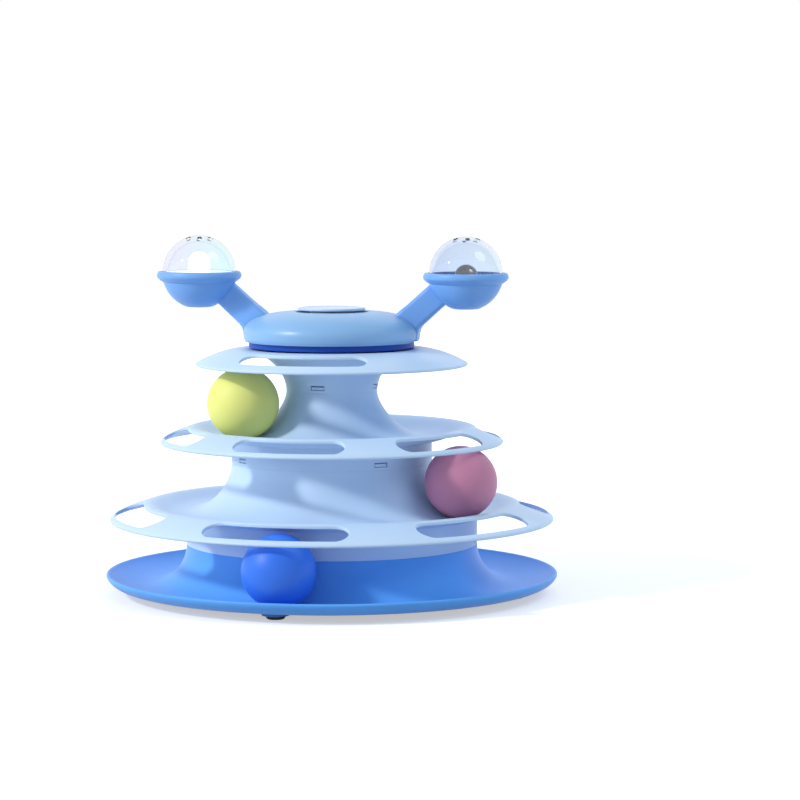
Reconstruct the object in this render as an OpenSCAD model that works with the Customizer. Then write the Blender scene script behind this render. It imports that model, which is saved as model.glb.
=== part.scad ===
// Ball track tower for cats: a base dish and three stacked tracks, each with a trapped
// play ball, and a head that spins on the top with a lamp pod and a rattle pod.
// Millimetres, +Z up. The origin is on the tower's axis, on the surface it stands on.
// The front faces -Y. Each *_turn is an angle from the front towards +X.

/* [Base dish] */
// Diameter over the rim of the base dish
base_rim_d = 250; // [240:1:270]
// Height of the base rim above the floor
base_rim_h = 11.4; // [10:0.2:14]
// Height of the upright band of the base rim
base_band_h = 1.4; // [1:0.1:3]
// Width of the border where the underside of the base turns up to the rim
base_border_w = 10; // [8:0.5:12]
// Gap between the base ball and the collar of the lower track
base_side_gap = 2.85; // [0.6:0.05:3.4]
// Diameter of the joint between the base and the lower track
base_joint_d = 161.2; // [156:0.4:164]
// Height of the joint between the base and the lower track
base_seat_h = 27.5; // [26:0.5:34]

/* [Feet] */
// Height of the rubber foot pads
pad_h = 2; // [1.5:0.1:4]
// Diameter of the rubber foot pads
pad_d = 10; // [8:0.5:14]
// Height of the foot bosses above the pads
boss_h = 1.3; // [1:0.1:3]
// Diameter of the foot bosses
boss_d = 15; // [14.5:0.5:18]
// Distance from the base ball's circle out to the middle of each foot
foot_outset = 0.8; // [0:0.1:3]
// Direction of the first foot
foot_turn = -16.5; // [-45:0.5:45]

/* [Lower track] */
// Diameter over the rim of the lower track
lower_rim_d = 247; // [240:1:260]
// Place of the lip, as a share of the way from the lower trough to the rim
lower_lip_share = 0.481; // [0.44:0.001:0.56]
// Radius of the circle that the lower ball rolls on
lower_track_r = 81.5; // [80.5:0.5:84]
// Height of the lower trough above its seat
lower_trough_rise = 17.7; // [15:0.1:24]
// Height of the lip above the lower trough
lower_lip_rise = 4.9; // [3:0.1:6]
// Drop from the lip to the rim of the lower track
lower_rim_drop = 8.3; // [5:0.1:10]
// Height of the lower track from its seat to the next joint
lower_step = 45; // [42:0.5:60]
// Diameter of the joint between the lower and middle tracks
lower_joint_d = 111; // [100:0.5:112]

/* [Middle track] */
// Diameter over the rim of the middle track
middle_rim_d = 191.2; // [184:0.4:200]
// Place of the lip, as a share of the way from the middle trough to the rim
middle_lip_share = 0.579; // [0.5:0.001:0.62]
// Radius of the circle that the middle ball rolls on
middle_track_r = 53.3; // [53:0.1:58]
// Height of the middle trough above its seat
middle_trough_rise = 14; // [12:0.1:20]
// Height of the lip above the middle trough
middle_lip_rise = 5.8; // [4:0.1:8]
// Drop from the lip to the rim of the middle track
middle_rim_drop = 7.9; // [6:0.1:11]
// Height of the middle track from its seat to the next joint
middle_step = 39.5; // [39:0.5:55]
// Diameter of the joint between the middle and top tracks
middle_joint_d = 50.4; // [46:0.4:51]

/* [Top track] */
// Diameter over the rim of the top track
top_rim_d = 151.6; // [140:0.4:164]
// Diameter of the crest round the spinning head
top_crest_d = 98; // [97:0.5:104]
// Height of the crest above the seat of the top track
top_crest_rise = 23.4; // [22:0.1:32]
// Drop from the crest to the rim of the top track
top_rim_drop = 7.8; // [6:0.1:11]

/* [Shells and joints] */
// Wall of the moulded shells
wall = 1.8; // [1.4:0.1:2.2]
// Clearance of each plugged joint
fit_gap = 0.2; // [0.1:0.05:0.3]
// Height of the spigots that plug into the next track
spigot_h = 8; // [7:0.5:10]
// Width of the latch windows
window_w = 8; // [6:0.5:10]
// Height of the latch windows
window_h = 2.6; // [2:0.1:4]
// Height of the middle of each window above its seat
window_rise = 2.9; // [2.4:0.1:4]
// Number of latch windows round each joint
window_count = 4; // [3:1:6]

/* [Paw slots] */
// Number of slots in the lower and middle brims
slot_count = 6; // [4:1:7]
// Angle that each slot of the lower and middle brims covers
slot_span = 41; // [34:0.5:46]
// Inner edge of those slots, as a share of the way from the lip to the rim
slot_in_share = 0.108; // [0.06:0.002:0.2]
// Outer edge of those slots, as a share of the way from the lip to the rim
slot_out_share = 0.838; // [0.6:0.002:0.86]
// Number of slots in the top brim
top_slot_count = 2; // [1:1:4]
// Angle that each slot of the top brim covers
top_slot_span = 66; // [50:1:78]
// Inner edge of the top slots, as a share of the way from the crest to the rim
top_slot_in_share = 0.298; // [0.24:0.002:0.4]
// Outer edge of the top slots, as a share of the way from the crest to the rim
top_slot_out_share = 0.769; // [0.6:0.001:0.8]
// Direction of the middle of the front slots
slot_turn = -16; // [-30:0.5:30]

/* [Play balls] */
// Diameter of the play balls
ball_d = 39.5; // [36:0.5:39.5]
// Wall of the hollow play balls
ball_wall = 1.2; // [0.8:0.1:2]
// Direction of the blue ball on the base
blue_turn = -15.7; // [-180:0.1:180]
// Direction of the pink ball on the lower track
pink_turn = 58.9; // [-180:0.1:180]
// Direction of the yellow ball on the middle track
yellow_turn = -65.4; // [-180:0.1:180]

/* [Spinning head] */
// Turn of the head at rest, with the rattle pod brought forward
head_turn = 10; // [-90:1:90]
// Diameter of the head over its cover
head_d = 98; // [92:1:99]
// Gap between the crest of the top track and the head's lower edge
head_lift = 3.9; // [3:0.1:6]
// Height of the head's cover
head_h = 16.4; // [15:0.2:20]
// Diameter of the round opening in the cover
cap_hole_d = 40; // [38:0.5:44]
// Diameter of the cap
cap_d = 37.2; // [34:0.2:37.8]
// Thickness of the cap's disc
cap_t = 1.4; // [1:0.1:2]
// Height of the cap's disc above the cover
cap_lift = 0.8; // [0.6:0.1:1.5]

/* [Spindle] */
// Diameter of the post that the head spins on
post_d = 9.8; // [8:0.1:11]
// Running clearance between post and bush, on the radius
bush_gap = 0.05; // [0.03:0.01:0.1]
// Wall of the bush
bush_wall = 1.5; // [1:0.1:2]
// Length of the bush
bush_l = 12.4; // [10:0.2:12.6]
// Shank diameter of the retaining screw
screw_d = 3; // [2.5:0.1:4]

/* [Arms] */
// Distance from the axis to the middle of each pod
pod_reach = 74.7; // [72:0.1:82]
// Height of the pods' middle above the head's lower edge
pod_rise = 37.9; // [34:0.1:44]
// Slope of the arms
arm_slope = 41; // [38:0.5:44]
// Depth of the arms, seen from the side
arm_h = 14; // [12:0.2:15]
// Thickness of the arms at the head
arm_root_t = 15.2; // [12:0.2:17]
// Thickness of the arms at the pods
arm_tip_t = 9; // [7:0.2:12]
// Rounding of the arms' edges
arm_edge_r = 2.2; // [1.5:0.1:3]

/* [Pods] */
// Outer diameter of the clear domes
dome_d = 40.4; // [38:0.2:42]
// Wall of the clear domes
dome_wall = 1.3; // [1:0.1:1.6]
// Outer diameter of the cups
cup_d = 41.6; // [41:0.2:44]
// Outer diameter of the bezel rings
bezel_d = 47; // [46:0.2:50]
// Depth of the bezel rings
bezel_h = 6.1; // [5.8:0.1:7.4]
// Diameter of the rattle ball
rattle_d = 12.7; // [10:0.1:13]
// Diameter of the lamp's diffuser
diffuser_d = 12; // [10:0.2:14]
// Height of the lamp's diffuser
diffuser_h = 11; // [9:0.1:13]
// Diameter of the lamp drum
drum_d = 31; // [28:0.5:32]
// Number of vent holes in each dome
vent_count = 6; // [4:1:8]

/* [Hidden] */

$fn = 96;
curve_steps = 8;
overrun = 1;
ball_gap = 0.3;
seam = 0.3;
spigot_web = 3;
latch_proud_gap = 0.35;
post_lift_share = 3.6;

// Shares that bend each outline, chosen by hand for the moulded curves.
base_neck_shares = [0.54, 0.58];
base_under_shares = [[0.1, 0.5], [0.5, 0]];
lower_neck_shares = [0.46, 0.55];
middle_neck_shares = [0.37, 0.47];
dish_shares = [0.50, 0.35];
brim_shares = [[0.35, 0.22], [0.12, 0.31]];
top_brim_shares = [[0.35, 0], [0.30, 0.55]];
trumpet_shares = [0.43, 0.58];
window_turns = [-11, 28.5, -18];

// Heights, worked up the stack from the floor.
base_floor_z = pad_h + boss_h;
base_trough_z = base_floor_z + wall;
base_foot_z = base_floor_z + wall / 2;
lower_trough_z = base_seat_h + lower_trough_rise;
lower_lip_z = lower_trough_z + lower_lip_rise;
lower_top_z = base_seat_h + lower_step;
middle_trough_z = lower_top_z + middle_trough_rise;
middle_lip_z = middle_trough_z + middle_lip_rise;
middle_top_z = lower_top_z + middle_step;
crest_z = middle_top_z + top_crest_rise;
head_z = crest_z + head_lift;
head_top_z = head_z + head_h;
pod_z = head_z + pod_rise;

base_joint_r = base_joint_d / 2;
base_foot_r = base_rim_d / 2 - base_border_w;
base_track_r = base_joint_r + ball_d / 2 + base_side_gap;
foot_ring_r = base_track_r + foot_outset;
lower_joint_r = lower_joint_d / 2;
lower_lip_r = lower_track_r + lower_lip_share * (lower_rim_d / 2 - lower_track_r);
middle_joint_r = middle_joint_d / 2;
middle_lip_r = middle_track_r + middle_lip_share * (middle_rim_d / 2 - middle_track_r);

// Spindle: the head's bush turns on the post and rests on its shoulder.
thrust_gap = 0.15;
post_r = post_d / 2;
bush_in_r = post_r + bush_gap;
bush_out_r = bush_in_r + bush_wall;
hub_wall = 3.6;
hub_r = bush_out_r + hub_wall;
shoulder_r = post_r + 2.6 * bush_wall;
floor_t = wall;
top_floor_z = crest_z - 4.6 * wall;
shoulder_z = head_z - post_lift_share * wall;
bush_z = shoulder_z + thrust_gap;
bush_top_z = bush_z + bush_l;
post_top_z = bush_top_z + 2 * seam;
washer_t = 1;
washer_r = post_r + bush_wall;
counterbore_r = washer_r + 3 * seam;
screw_head_r = screw_d;
screw_head_h = 0.7 * screw_d;
screw_l = 4 * screw_d;
hub_top_z = post_top_z + washer_t + screw_head_h;

// Head.
head_edge_in = 1.2;
head_bulge_z = head_z + 0.25 * head_h;
notch_gap = 0.3;
notch_r = 0.745 * head_d / 2;
skirt_r = 0.6 * head_d / 2;
skirt_h = 0.9 * head_lift;
plate_r = head_d / 2 - head_edge_in - wall - fit_gap;
cap_z = head_top_z + cap_lift;

// Arms.
arm_lift = 1.2;
arm_root_r = 0.66 * head_d / 2;
arm_dir = [cos(arm_slope), sin(arm_slope)];
arm_up = [-sin(arm_slope), cos(arm_slope)];
arm_tip = [pod_reach, pod_z] + arm_lift * arm_up - 0.55 * cup_d / 2 * arm_dir;
arm_root = arm_tip - (arm_tip[0] - arm_root_r) / arm_dir[0] * arm_dir;

// Pods: heights are measured from the middle of the pod.
dome_r = dome_d / 2;
cup_r = cup_d / 2;
bezel_top = 0.2;
bezel_low = bezel_top - bezel_h;
bezel_belly = bezel_top - 0.44 * bezel_h;
dome_seat = -2;
bezel_bore_lip = 1.7;
bezel_bore_r = dome_r - dome_wall - bezel_bore_lip;
cup_flat = -0.947 * cup_r;
shelf_t = 1;
shelf_z = bezel_low - wall;
shelf_rim = 1.6;
shelf_r = sqrt(pow(cup_r, 2) - pow(bezel_low, 2)) - shelf_rim;
insert_r = shelf_r - fit_gap;
insert_top = shelf_z + shelf_t;
tray_floor_t = 1.2;
tray_floor_drop = 0.3;
tray_floor = shelf_z - tray_floor_drop;
tray_rim = 1.9;
tray_wall_r = insert_r - tray_rim;
rattle_r = rattle_d / 2;
rattle_offset = 4.5;
drum_r = drum_d / 2;
drum_wall = 1.2;
drum_drop = 0.1;
drum_top = bezel_top - drum_drop;
cell_r = 10;
cell_t = 3.2;
cell_count = 2;
holder_gap = 0.15;
holder_wall = 1.2;
holder_lip = 0.8;
holder_low = shelf_z - cell_count * cell_t - holder_gap - holder_lip;
board_r = 0.67 * drum_r;
board_t = 1;
board_top = drum_top - 2.1 * drum_wall;
led_r = 2.5;
led_rise = 3.4;
led_top = drum_top + led_rise;
led_hole_gap = 0.3;
diffuser_r = diffuser_d / 2;
diffuser_wall = 1;
vent_r = 1.5;
vent_ring_r = 0.34 * dome_r;

// Point sequences.
function curve(a, b, c, d) = [for (i = [0:curve_steps]) let (t = i / curve_steps)
    pow(1 - t, 3) * a + 3 * pow(1 - t, 2) * t * b + 3 * (1 - t) * pow(t, 2) * c + pow(t, 3) * d];
function tail(list) = [for (i = [1:len(list) - 1]) list[i]];
function reversed(list) = [for (i = [len(list) - 1:-1:0]) list[i]];
function last(list) = list[len(list) - 1];
function unit(v) = v / norm(v);
function right_of(v) = [v[1], -v[0]];

// The other face of a wall of thickness t, on the right of the path.
function far_face(path, t) = [for (i = [0:len(path) - 1]) let (
    before = i == 0 ? unit(path[1] - path[0]) : unit(path[i] - path[i - 1]),
    after = i == len(path) - 1 ? before : unit(path[i + 1] - path[i]),
    side = unit(right_of(before + after)))
    path[i] + t / (side * right_of(before)) * side];

// Rounded edge at the end of a wall.
function edge_round(path, t) = let (
    end = last(path),
    out = unit(end - path[len(path) - 2]),
    down = right_of(out),
    middle = end + down * t / 2)
    [for (a = [60, 20, -20, -60]) middle + t / 2 * (cos(a) * out - sin(a) * down)];

// Outline from a joint down its neck to the bottom of the trough.
function neck_path(joint_r, joint_z, trough_r, trough_z, shares) = curve(
    [joint_r, joint_z],
    [joint_r, joint_z - shares[0] * (joint_z - trough_z)],
    [trough_r - shares[1] * (trough_r - joint_r), trough_z],
    [trough_r, trough_z]);

// Outline from the trough up to the lip.
function dish_path(trough_r, trough_z, lip_r, lip_z) = tail(curve(
    [trough_r, trough_z],
    [trough_r + dish_shares[0] * (lip_r - trough_r), trough_z],
    [lip_r - dish_shares[1] * (lip_r - trough_r), lip_z],
    [lip_r, lip_z]));

// Outline from the lip down over the brim to the rim.
function brim_path(lip_r, lip_z, rim_r, drop, shares) = tail(curve(
    [lip_r, lip_z],
    [lip_r + shares[0][0] * (rim_r - lip_r), lip_z - shares[0][1] * drop],
    [rim_r - shares[1][0] * (rim_r - lip_r), lip_z - drop + shares[1][1] * drop],
    [rim_r, lip_z - drop]));

function lower_path() = concat(
    neck_path(lower_joint_r, lower_top_z, lower_track_r, lower_trough_z, lower_neck_shares),
    dish_path(lower_track_r, lower_trough_z, lower_lip_r, lower_lip_z),
    brim_path(lower_lip_r, lower_lip_z, lower_rim_d / 2 - wall / 2, lower_rim_drop, brim_shares));
function middle_path() = concat(
    neck_path(middle_joint_r, middle_top_z, middle_track_r, middle_trough_z, middle_neck_shares),
    dish_path(middle_track_r, middle_trough_z, middle_lip_r, middle_lip_z),
    brim_path(middle_lip_r, middle_lip_z, middle_rim_d / 2 - wall / 2, middle_rim_drop,
        brim_shares));

// Outer face of the trumpet under the top brim, from its seat upwards.
function trumpet_path() = let (crest_r = top_crest_d / 2 - wall, under_z = crest_z - wall) curve(
    [middle_joint_r, middle_top_z],
    [middle_joint_r, middle_top_z + trumpet_shares[0] * (under_z - middle_top_z)],
    [crest_r - trumpet_shares[1] * (crest_r - middle_joint_r), under_z - wall / 2],
    [crest_r, under_z]);

// Outer face of the head's cover, from its lower edge to the cap's opening.
function cover_path() = let (r = head_d / 2, bulge = [r, head_bulge_z], hole_r = cap_hole_d / 2)
    concat([[r - head_edge_in, head_z], [r - head_edge_in / 4, head_z + head_h / 9]],
        curve(bulge, [r, head_bulge_z + 0.66 * (head_top_z - head_bulge_z)],
            [hole_r + 0.58 * (r - hole_r), head_top_z], [hole_r, head_top_z]));

module wall_section(path, t) polygon(concat(path, edge_round(path, t), reversed(far_face(path, t))));

// Collar that sits on a joint, with a fine chamfer at the seam.
module collar_section(r, z, top) polygon([[r - wall, z], [r - seam, z], [r, z + seam],
    [r, top], [r - wall, top]]);

// Spigot on top of a neck, with the web that joins it to the neck's wall.
module spigot_section(joint_r, z) {
    r = joint_r - wall - fit_gap;
    translate([r - wall, z - spigot_web]) square([wall, spigot_web + spigot_h]);
    translate([r - wall, z - spigot_web]) square([2 * wall, spigot_web]);
}

module at_turn(turn) rotate([0, 0, turn - 90]) children();

module at_windows(first_turn) for (i = [0:window_count - 1])
    at_turn(first_turn + i * 360 / window_count) children();

module latch_windows(joint_r, z, first_turn) at_windows(first_turn)
    translate([joint_r - 2 * wall, -window_w / 2, z + window_rise - window_h / 2])
        cube([4 * wall, window_w, window_h]);

module latch_tabs(joint_r, z, first_turn) {
    back = joint_r - wall - fit_gap - wall / 2;
    face = joint_r - latch_proud_gap;
    low = z + window_rise - window_h / 2 + fit_gap;
    high = z + window_rise + window_h / 2 - 2 * fit_gap;
    width = window_w - 4 * fit_gap;
    at_windows(first_turn) rotate([90, 0, 0]) translate([0, 0, -width / 2])
        linear_extrude(width) polygon([[back, low], [face, low], [face, high - 2 * fit_gap],
            [back + wall / 2, high + fit_gap], [back, high + fit_gap]]);
}

// Slots with round ends, cut upright through a brim between its lip and its rim.
module brim_slots(count, span, lip_r, rim_r, shares, low, high) {
    inner_r = lip_r + shares[0] * (rim_r - lip_r);
    width = (shares[1] - shares[0]) * (rim_r - lip_r);
    middle_r = inner_r + width / 2;
    core = span - 2 * asin(width / 2 / middle_r);
    for (i = [0:count - 1]) at_turn(slot_turn + i * 360 / count) {
        rotate([0, 0, -core / 2]) rotate_extrude(angle = core)
            translate([inner_r, low]) square([width, high - low]);
        for (side = [-1, 1]) rotate([0, 0, side * core / 2])
            translate([middle_r, 0, low]) rotate([0, 0, -90 * side])
                cylinder(h = high - low, d = width);
    }
}

module base_dish() color("royalblue") {
    rim_r = base_rim_d / 2;
    lean = 2 * wall;
    rise = base_rim_h - base_trough_z;
    top = concat(
        neck_path(base_joint_r, base_seat_h, base_track_r, base_trough_z, base_neck_shares),
        tail(curve([base_track_r, base_trough_z],
            [base_track_r + 0.4 * (rim_r - base_track_r), base_trough_z],
            [rim_r - lean, base_rim_h - 0.3 * rise], [rim_r - wall, base_rim_h])));
    rim = [for (a = [60, 30, 0]) [rim_r - wall / 2 + wall / 2 * cos(a),
        base_rim_h - wall / 2 + wall / 2 * sin(a)]];
    band_z = base_rim_h - base_band_h;
    turn_up = curve([rim_r, band_z],
        [rim_r - base_under_shares[0][0] * base_border_w,
            band_z - base_under_shares[0][1] * (band_z - base_foot_z)],
        [rim_r - base_under_shares[1][0] * base_border_w, base_foot_z],
        [base_foot_r, base_foot_z]);
    neck_in = far_face(neck_path(base_joint_r, base_seat_h, base_track_r, base_trough_z,
        base_neck_shares), wall);
    rotate_extrude() {
        polygon(concat(top, rim, turn_up, reversed(neck_in)));
        spigot_section(base_joint_r, base_seat_h);
    }
    latch_tabs(base_joint_r, base_seat_h, window_turns[0]);
    for (i = [0:3]) at_turn(foot_turn + i * 90)
        translate([foot_ring_r, 0, pad_h]) cylinder(h = boss_h + wall / 2, d = boss_d);
}

module foot_pad(i) color("#202020") at_turn(foot_turn + i * 90) translate([foot_ring_r, 0, 0]) {
    cylinder(h = pad_h / 4, d1 = pad_d - pad_h / 2, d2 = pad_d);
    translate([0, 0, pad_h / 4]) cylinder(h = 3 * pad_h / 4, d = pad_d);
}

module lower_track() color("#b4d2f5") {
    difference() {
        rotate_extrude() {
            wall_section(lower_path(), wall);
            collar_section(base_joint_r, base_seat_h, lower_trough_z - wall / 2);
            spigot_section(lower_joint_r, lower_top_z);
        }
        latch_windows(base_joint_r, base_seat_h, window_turns[0]);
        brim_slots(slot_count, slot_span, lower_lip_r, lower_rim_d / 2,
            [slot_in_share, slot_out_share], lower_lip_z - lower_rim_drop - 2 * wall,
            lower_lip_z + overrun);
    }
    latch_tabs(lower_joint_r, lower_top_z, window_turns[1]);
}

module middle_track() color("#b4d2f5") {
    difference() {
        rotate_extrude() {
            wall_section(middle_path(), wall);
            collar_section(lower_joint_r, lower_top_z, middle_trough_z - wall / 2);
            spigot_section(middle_joint_r, middle_top_z);
        }
        latch_windows(lower_joint_r, lower_top_z, window_turns[1]);
        brim_slots(slot_count, slot_span, middle_lip_r, middle_rim_d / 2,
            [slot_in_share, slot_out_share], middle_lip_z - middle_rim_drop - 2 * wall,
            middle_lip_z + overrun);
    }
    latch_tabs(middle_joint_r, middle_top_z, window_turns[2]);
}

module top_track() color("#b4d2f5") {
    rim_r = top_rim_d / 2 - wall / 2;
    crest_r = top_crest_d / 2;
    brim = concat([[crest_r, crest_z]], brim_path(crest_r, crest_z, rim_r, top_rim_drop,
        top_brim_shares));
    trumpet = trumpet_path();
    under = far_face(brim, wall);
    difference() {
        rotate_extrude() {
            polygon(concat(trumpet, under, reversed(edge_round(brim, wall)), reversed(brim),
                far_face(reversed(trumpet), wall)));
            intersection() {
                polygon(concat([[0, middle_top_z]], trumpet, [[0, last(trumpet)[1]]]));
                translate([0, top_floor_z]) square([crest_r, floor_t]);
            }
            translate([0, top_floor_z]) square([shoulder_r, shoulder_z - top_floor_z]);
            translate([0, top_floor_z]) square([post_r, post_top_z - top_floor_z]);
        }
        latch_windows(middle_joint_r, middle_top_z, window_turns[2]);
        brim_slots(top_slot_count, top_slot_span, crest_r, top_rim_d / 2,
            [top_slot_in_share, top_slot_out_share], crest_z - top_rim_drop - 2 * wall,
            crest_z + overrun);
        translate([0, 0, post_top_z - screw_l]) cylinder(h = screw_l + overrun, d = screw_d);
    }
}

module play_ball(track_r, trough_z, turn) at_turn(turn)
    translate([track_r, 0, trough_z + ball_gap + ball_d / 2]) difference() {
        sphere(d = ball_d);
        sphere(d = ball_d - 2 * ball_wall);
    }

module blue_ball() color("#3c78f0") play_ball(base_track_r, base_trough_z, blue_turn);
module pink_ball() color("#be7896") play_ball(lower_track_r, lower_trough_z, pink_turn);
module yellow_ball() color("#e1e182") play_ball(middle_track_r, middle_trough_z, yellow_turn);

module head_screw() color("silver") {
    translate([0, 0, post_top_z - screw_l]) cylinder(h = screw_l + washer_t, d = screw_d);
    translate([0, 0, post_top_z + washer_t]) difference() {
        cylinder(h = screw_head_h, r1 = screw_head_r, r2 = 0.8 * screw_head_r);
        for (a = [0, 90]) rotate([0, 0, a])
            translate([-screw_head_r / 2, -screw_head_r / 8, screw_head_h / 2])
                cube([screw_head_r, screw_head_r / 4, screw_head_h]);
    }
}

module head_washer() color("silver") translate([0, 0, post_top_z]) difference() {
    cylinder(h = washer_t, r = washer_r);
    translate([0, 0, -overrun]) cylinder(h = washer_t + 2 * overrun, r = screw_d / 2 + fit_gap);
}

module head_bush() color("ivory") translate([0, 0, bush_z]) difference() {
    cylinder(h = bush_l, r = bush_out_r);
    translate([0, 0, -overrun]) cylinder(h = bush_l + 2 * overrun, r = bush_in_r);
}

module in_head() rotate([0, 0, -head_turn]) children();
module at_pod(side) in_head() translate([side * pod_reach, 0, pod_z]) children();

// Upright sides of the notches in the cover, each wider than its arm by gap.
module arm_notches(gap) for (side = [0, 180]) rotate([0, 0, side])
    translate([notch_r - gap, -arm_root_t / 2 - gap, head_z - overrun])
        cube([head_d, arm_root_t + 2 * gap, head_h + 2 * overrun]);

// Rounded bar from the head to a pod, on the +X side.
module arm_bar() hull() {
    for (end = [[arm_root, arm_root_t], [arm_tip, arm_tip_t]]) for (y = [-1, 1]) for (up = [-1, 1])
        let (p = end[0] + up * (arm_h / 2 - arm_edge_r) * arm_up)
        translate([p[0], y * (end[1] / 2 - arm_edge_r), p[1]]) sphere(r = arm_edge_r, $fn = 32);
}

module cup_section() intersection() {
    circle(r = cup_r);
    translate([0, cup_flat]) square([cup_r, bezel_low - cup_flat]);
}

module cup_hollow_section() {
    intersection() {
        circle(r = cup_r - wall);
        translate([0, cup_flat + wall]) square([cup_r, bezel_low - cup_flat]);
    }
    translate([0, shelf_z]) square([shelf_r, bezel_low - shelf_z + overrun]);
}

module bezel_outline(grow) {
    r = bezel_d / 2 + grow;
    foot_r = sqrt(pow(cup_r, 2) - pow(bezel_low, 2)) + grow;
    top_r = dome_r + fit_gap + 0.45 * (bezel_d / 2 - dome_r);
    polygon(concat([[0, bezel_top + grow]],
        curve([top_r, bezel_top + grow], [top_r + 0.6 * (r - top_r), bezel_top + grow],
            [r, bezel_belly + 0.6 * (bezel_top - bezel_belly)], [r, bezel_belly]),
        tail(curve([r, bezel_belly], [r, bezel_belly + 0.35 * (bezel_low - bezel_belly)],
            [foot_r + 0.35 * (r - foot_r), bezel_low + 0.12 * bezel_h], [foot_r, bezel_low])),
        [[insert_r, bezel_low], [insert_r, insert_top], [0, insert_top]]));
}

module head_frame() color("cornflowerblue") {
    cover = cover_path();
    difference() {
        union() {
            in_head() {
                rotate_extrude() {
                    translate([0, head_z]) square([plate_r, wall]);
                    translate([skirt_r - wall, head_z - skirt_h]) square([wall, skirt_h + wall]);
                    translate([0, bush_z]) square([hub_r, hub_top_z - bush_z]);
                }
                intersection() {
                    rotate_extrude() polygon(concat([[0, head_z]], cover, [[0, head_top_z]]));
                    arm_notches(0);
                    translate([0, 0, head_z]) cylinder(h = 0.55 * head_h, r = head_d);
                }
            }
            for (side = [-1, 1]) at_pod(side) rotate_extrude() cup_section();
            difference() {
                in_head() for (side = [0, 180]) rotate([0, 0, side]) arm_bar();
                in_head() difference() {
                    rotate_extrude() polygon(concat(cover,
                        reversed(far_face(cover, -wall - notch_gap))));
                    arm_notches(0);
                }
                for (side = [-1, 1]) at_pod(side) rotate_extrude() bezel_outline(notch_gap);
            }
        }
        for (side = [-1, 1]) at_pod(side) rotate_extrude() cup_hollow_section();
        translate([0, 0, bush_z - overrun]) cylinder(h = bush_l + overrun, r = bush_out_r);
        translate([0, 0, bush_top_z]) cylinder(h = head_h, r = counterbore_r);
    }
}

module head_cover() color("lightskyblue") in_head() difference() {
    rotate_extrude() {
        cover = cover_path();
        polygon(concat(cover, reversed(far_face(cover, -wall))));
        translate([cap_hole_d / 2, head_top_z - 2 * wall]) square([wall, 1.5 * wall]);
        translate([plate_r - wall, head_z + wall]) square([2 * wall, wall]);
    }
    arm_notches(notch_gap);
}

module head_cap() color("lavender") {
    stem_in = hub_r + fit_gap;
    translate([0, 0, cap_z]) {
        cylinder(h = cap_t - seam, d = cap_d);
        translate([0, 0, cap_t - seam]) cylinder(h = seam, d1 = cap_d, d2 = cap_d - 2 * seam);
    }
    difference() {
        translate([0, 0, hub_top_z - wall]) cylinder(h = cap_z - hub_top_z + wall, r = stem_in + wall);
        translate([0, 0, hub_top_z - wall - overrun]) cylinder(h = wall + overrun, r = stem_in);
        translate([0, 0, hub_top_z - overrun])
            cylinder(h = cap_z - hub_top_z + overrun, r = hub_r - wall);
    }
}

module bezel(side) color("cornflowerblue") at_pod(side) rotate_extrude() difference() {
    bezel_outline(0);
    translate([0, insert_top - overrun]) square([bezel_bore_r, bezel_h + 2 * overrun - shelf_z]);
    translate([0, dome_seat]) square([dome_r + fit_gap, bezel_top - dome_seat + overrun]);
}

module clear_dome(side) color([0.8, 0.9, 1, 0.35]) at_pod(side) difference() {
    rotate_extrude() {
        difference() {
            circle(r = dome_r);
            circle(r = dome_r - dome_wall);
            translate([-dome_r, -dome_d]) square([dome_d, dome_d]);
            translate([-dome_r, -dome_r]) square([dome_r, dome_d]);
        }
        translate([dome_r - dome_wall, dome_seat]) square([dome_wall, -dome_seat]);
    }
    for (i = [0:vent_count - 1]) rotate([0, 0, i * 360 / vent_count])
        translate([vent_ring_r, 0, dome_r / 2]) cylinder(h = dome_r, r = vent_r);
}

module rattle_tray() color("cornflowerblue") at_pod(1) rotate_extrude() {
    tray_in_r = tray_wall_r - tray_floor_t;
    tray_low = tray_floor - tray_floor_t;
    translate([0, tray_low]) square([tray_wall_r, tray_floor_t]);
    translate([tray_in_r, tray_low]) square([tray_floor_t, shelf_z + shelf_t - tray_low]);
    translate([tray_in_r, shelf_z]) square([insert_r - tray_in_r, shelf_t]);
}

module rattle_ball() color("silver") at_pod(1) rotate([0, 0, head_turn])
    translate([0, -rattle_offset, tray_floor + ball_gap + rattle_r]) sphere(r = rattle_r);

module lamp_floor() color("white") at_pod(-1) rotate_extrude() {
    translate([0, shelf_z]) square([insert_r, shelf_t]);
    intersection() {
        union() {
            translate([cell_r + holder_gap, holder_low])
                square([holder_wall, shelf_z - holder_low + shelf_t / 2]);
            translate([cell_r - holder_lip, holder_low])
                square([holder_lip + holder_gap + holder_wall, holder_lip]);
        }
        circle(r = cup_r - wall - 2 * fit_gap);
    }
}

module lamp_cells() color("silver") at_pod(-1) for (i = [1:cell_count])
    translate([0, 0, shelf_z - i * cell_t]) {
        cylinder(h = 0.7 * cell_t, r = cell_r);
        cylinder(h = cell_t, r = 0.9 * cell_r);
    }

module lamp_drum() color("white") at_pod(-1) rotate_extrude() difference() {
    union() {
        difference() {
            translate([0, insert_top]) square([drum_r, drum_top - insert_top]);
            translate([0, insert_top - overrun])
                square([drum_r - drum_wall, drum_top - insert_top - drum_wall + overrun]);
        }
        translate([board_r - drum_wall, board_top])
            square([drum_wall, drum_top - board_top - drum_wall / 2]);
    }
    translate([0, board_top - overrun]) square([led_r + led_hole_gap, drum_top + 2 * overrun - board_top]);
}

module lamp_board() color("darkgreen") at_pod(-1) translate([0, 0, board_top - board_t])
    cylinder(h = board_t, r = board_r);

module lamp_led() color("white") at_pod(-1) rotate_extrude() {
    translate([0, board_top]) square([led_r, led_top - led_r - board_top]);
    intersection() {
        translate([0, led_top - led_r]) circle(r = led_r);
        translate([0, led_top - led_r]) square([led_r, led_r]);
    }
}

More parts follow.
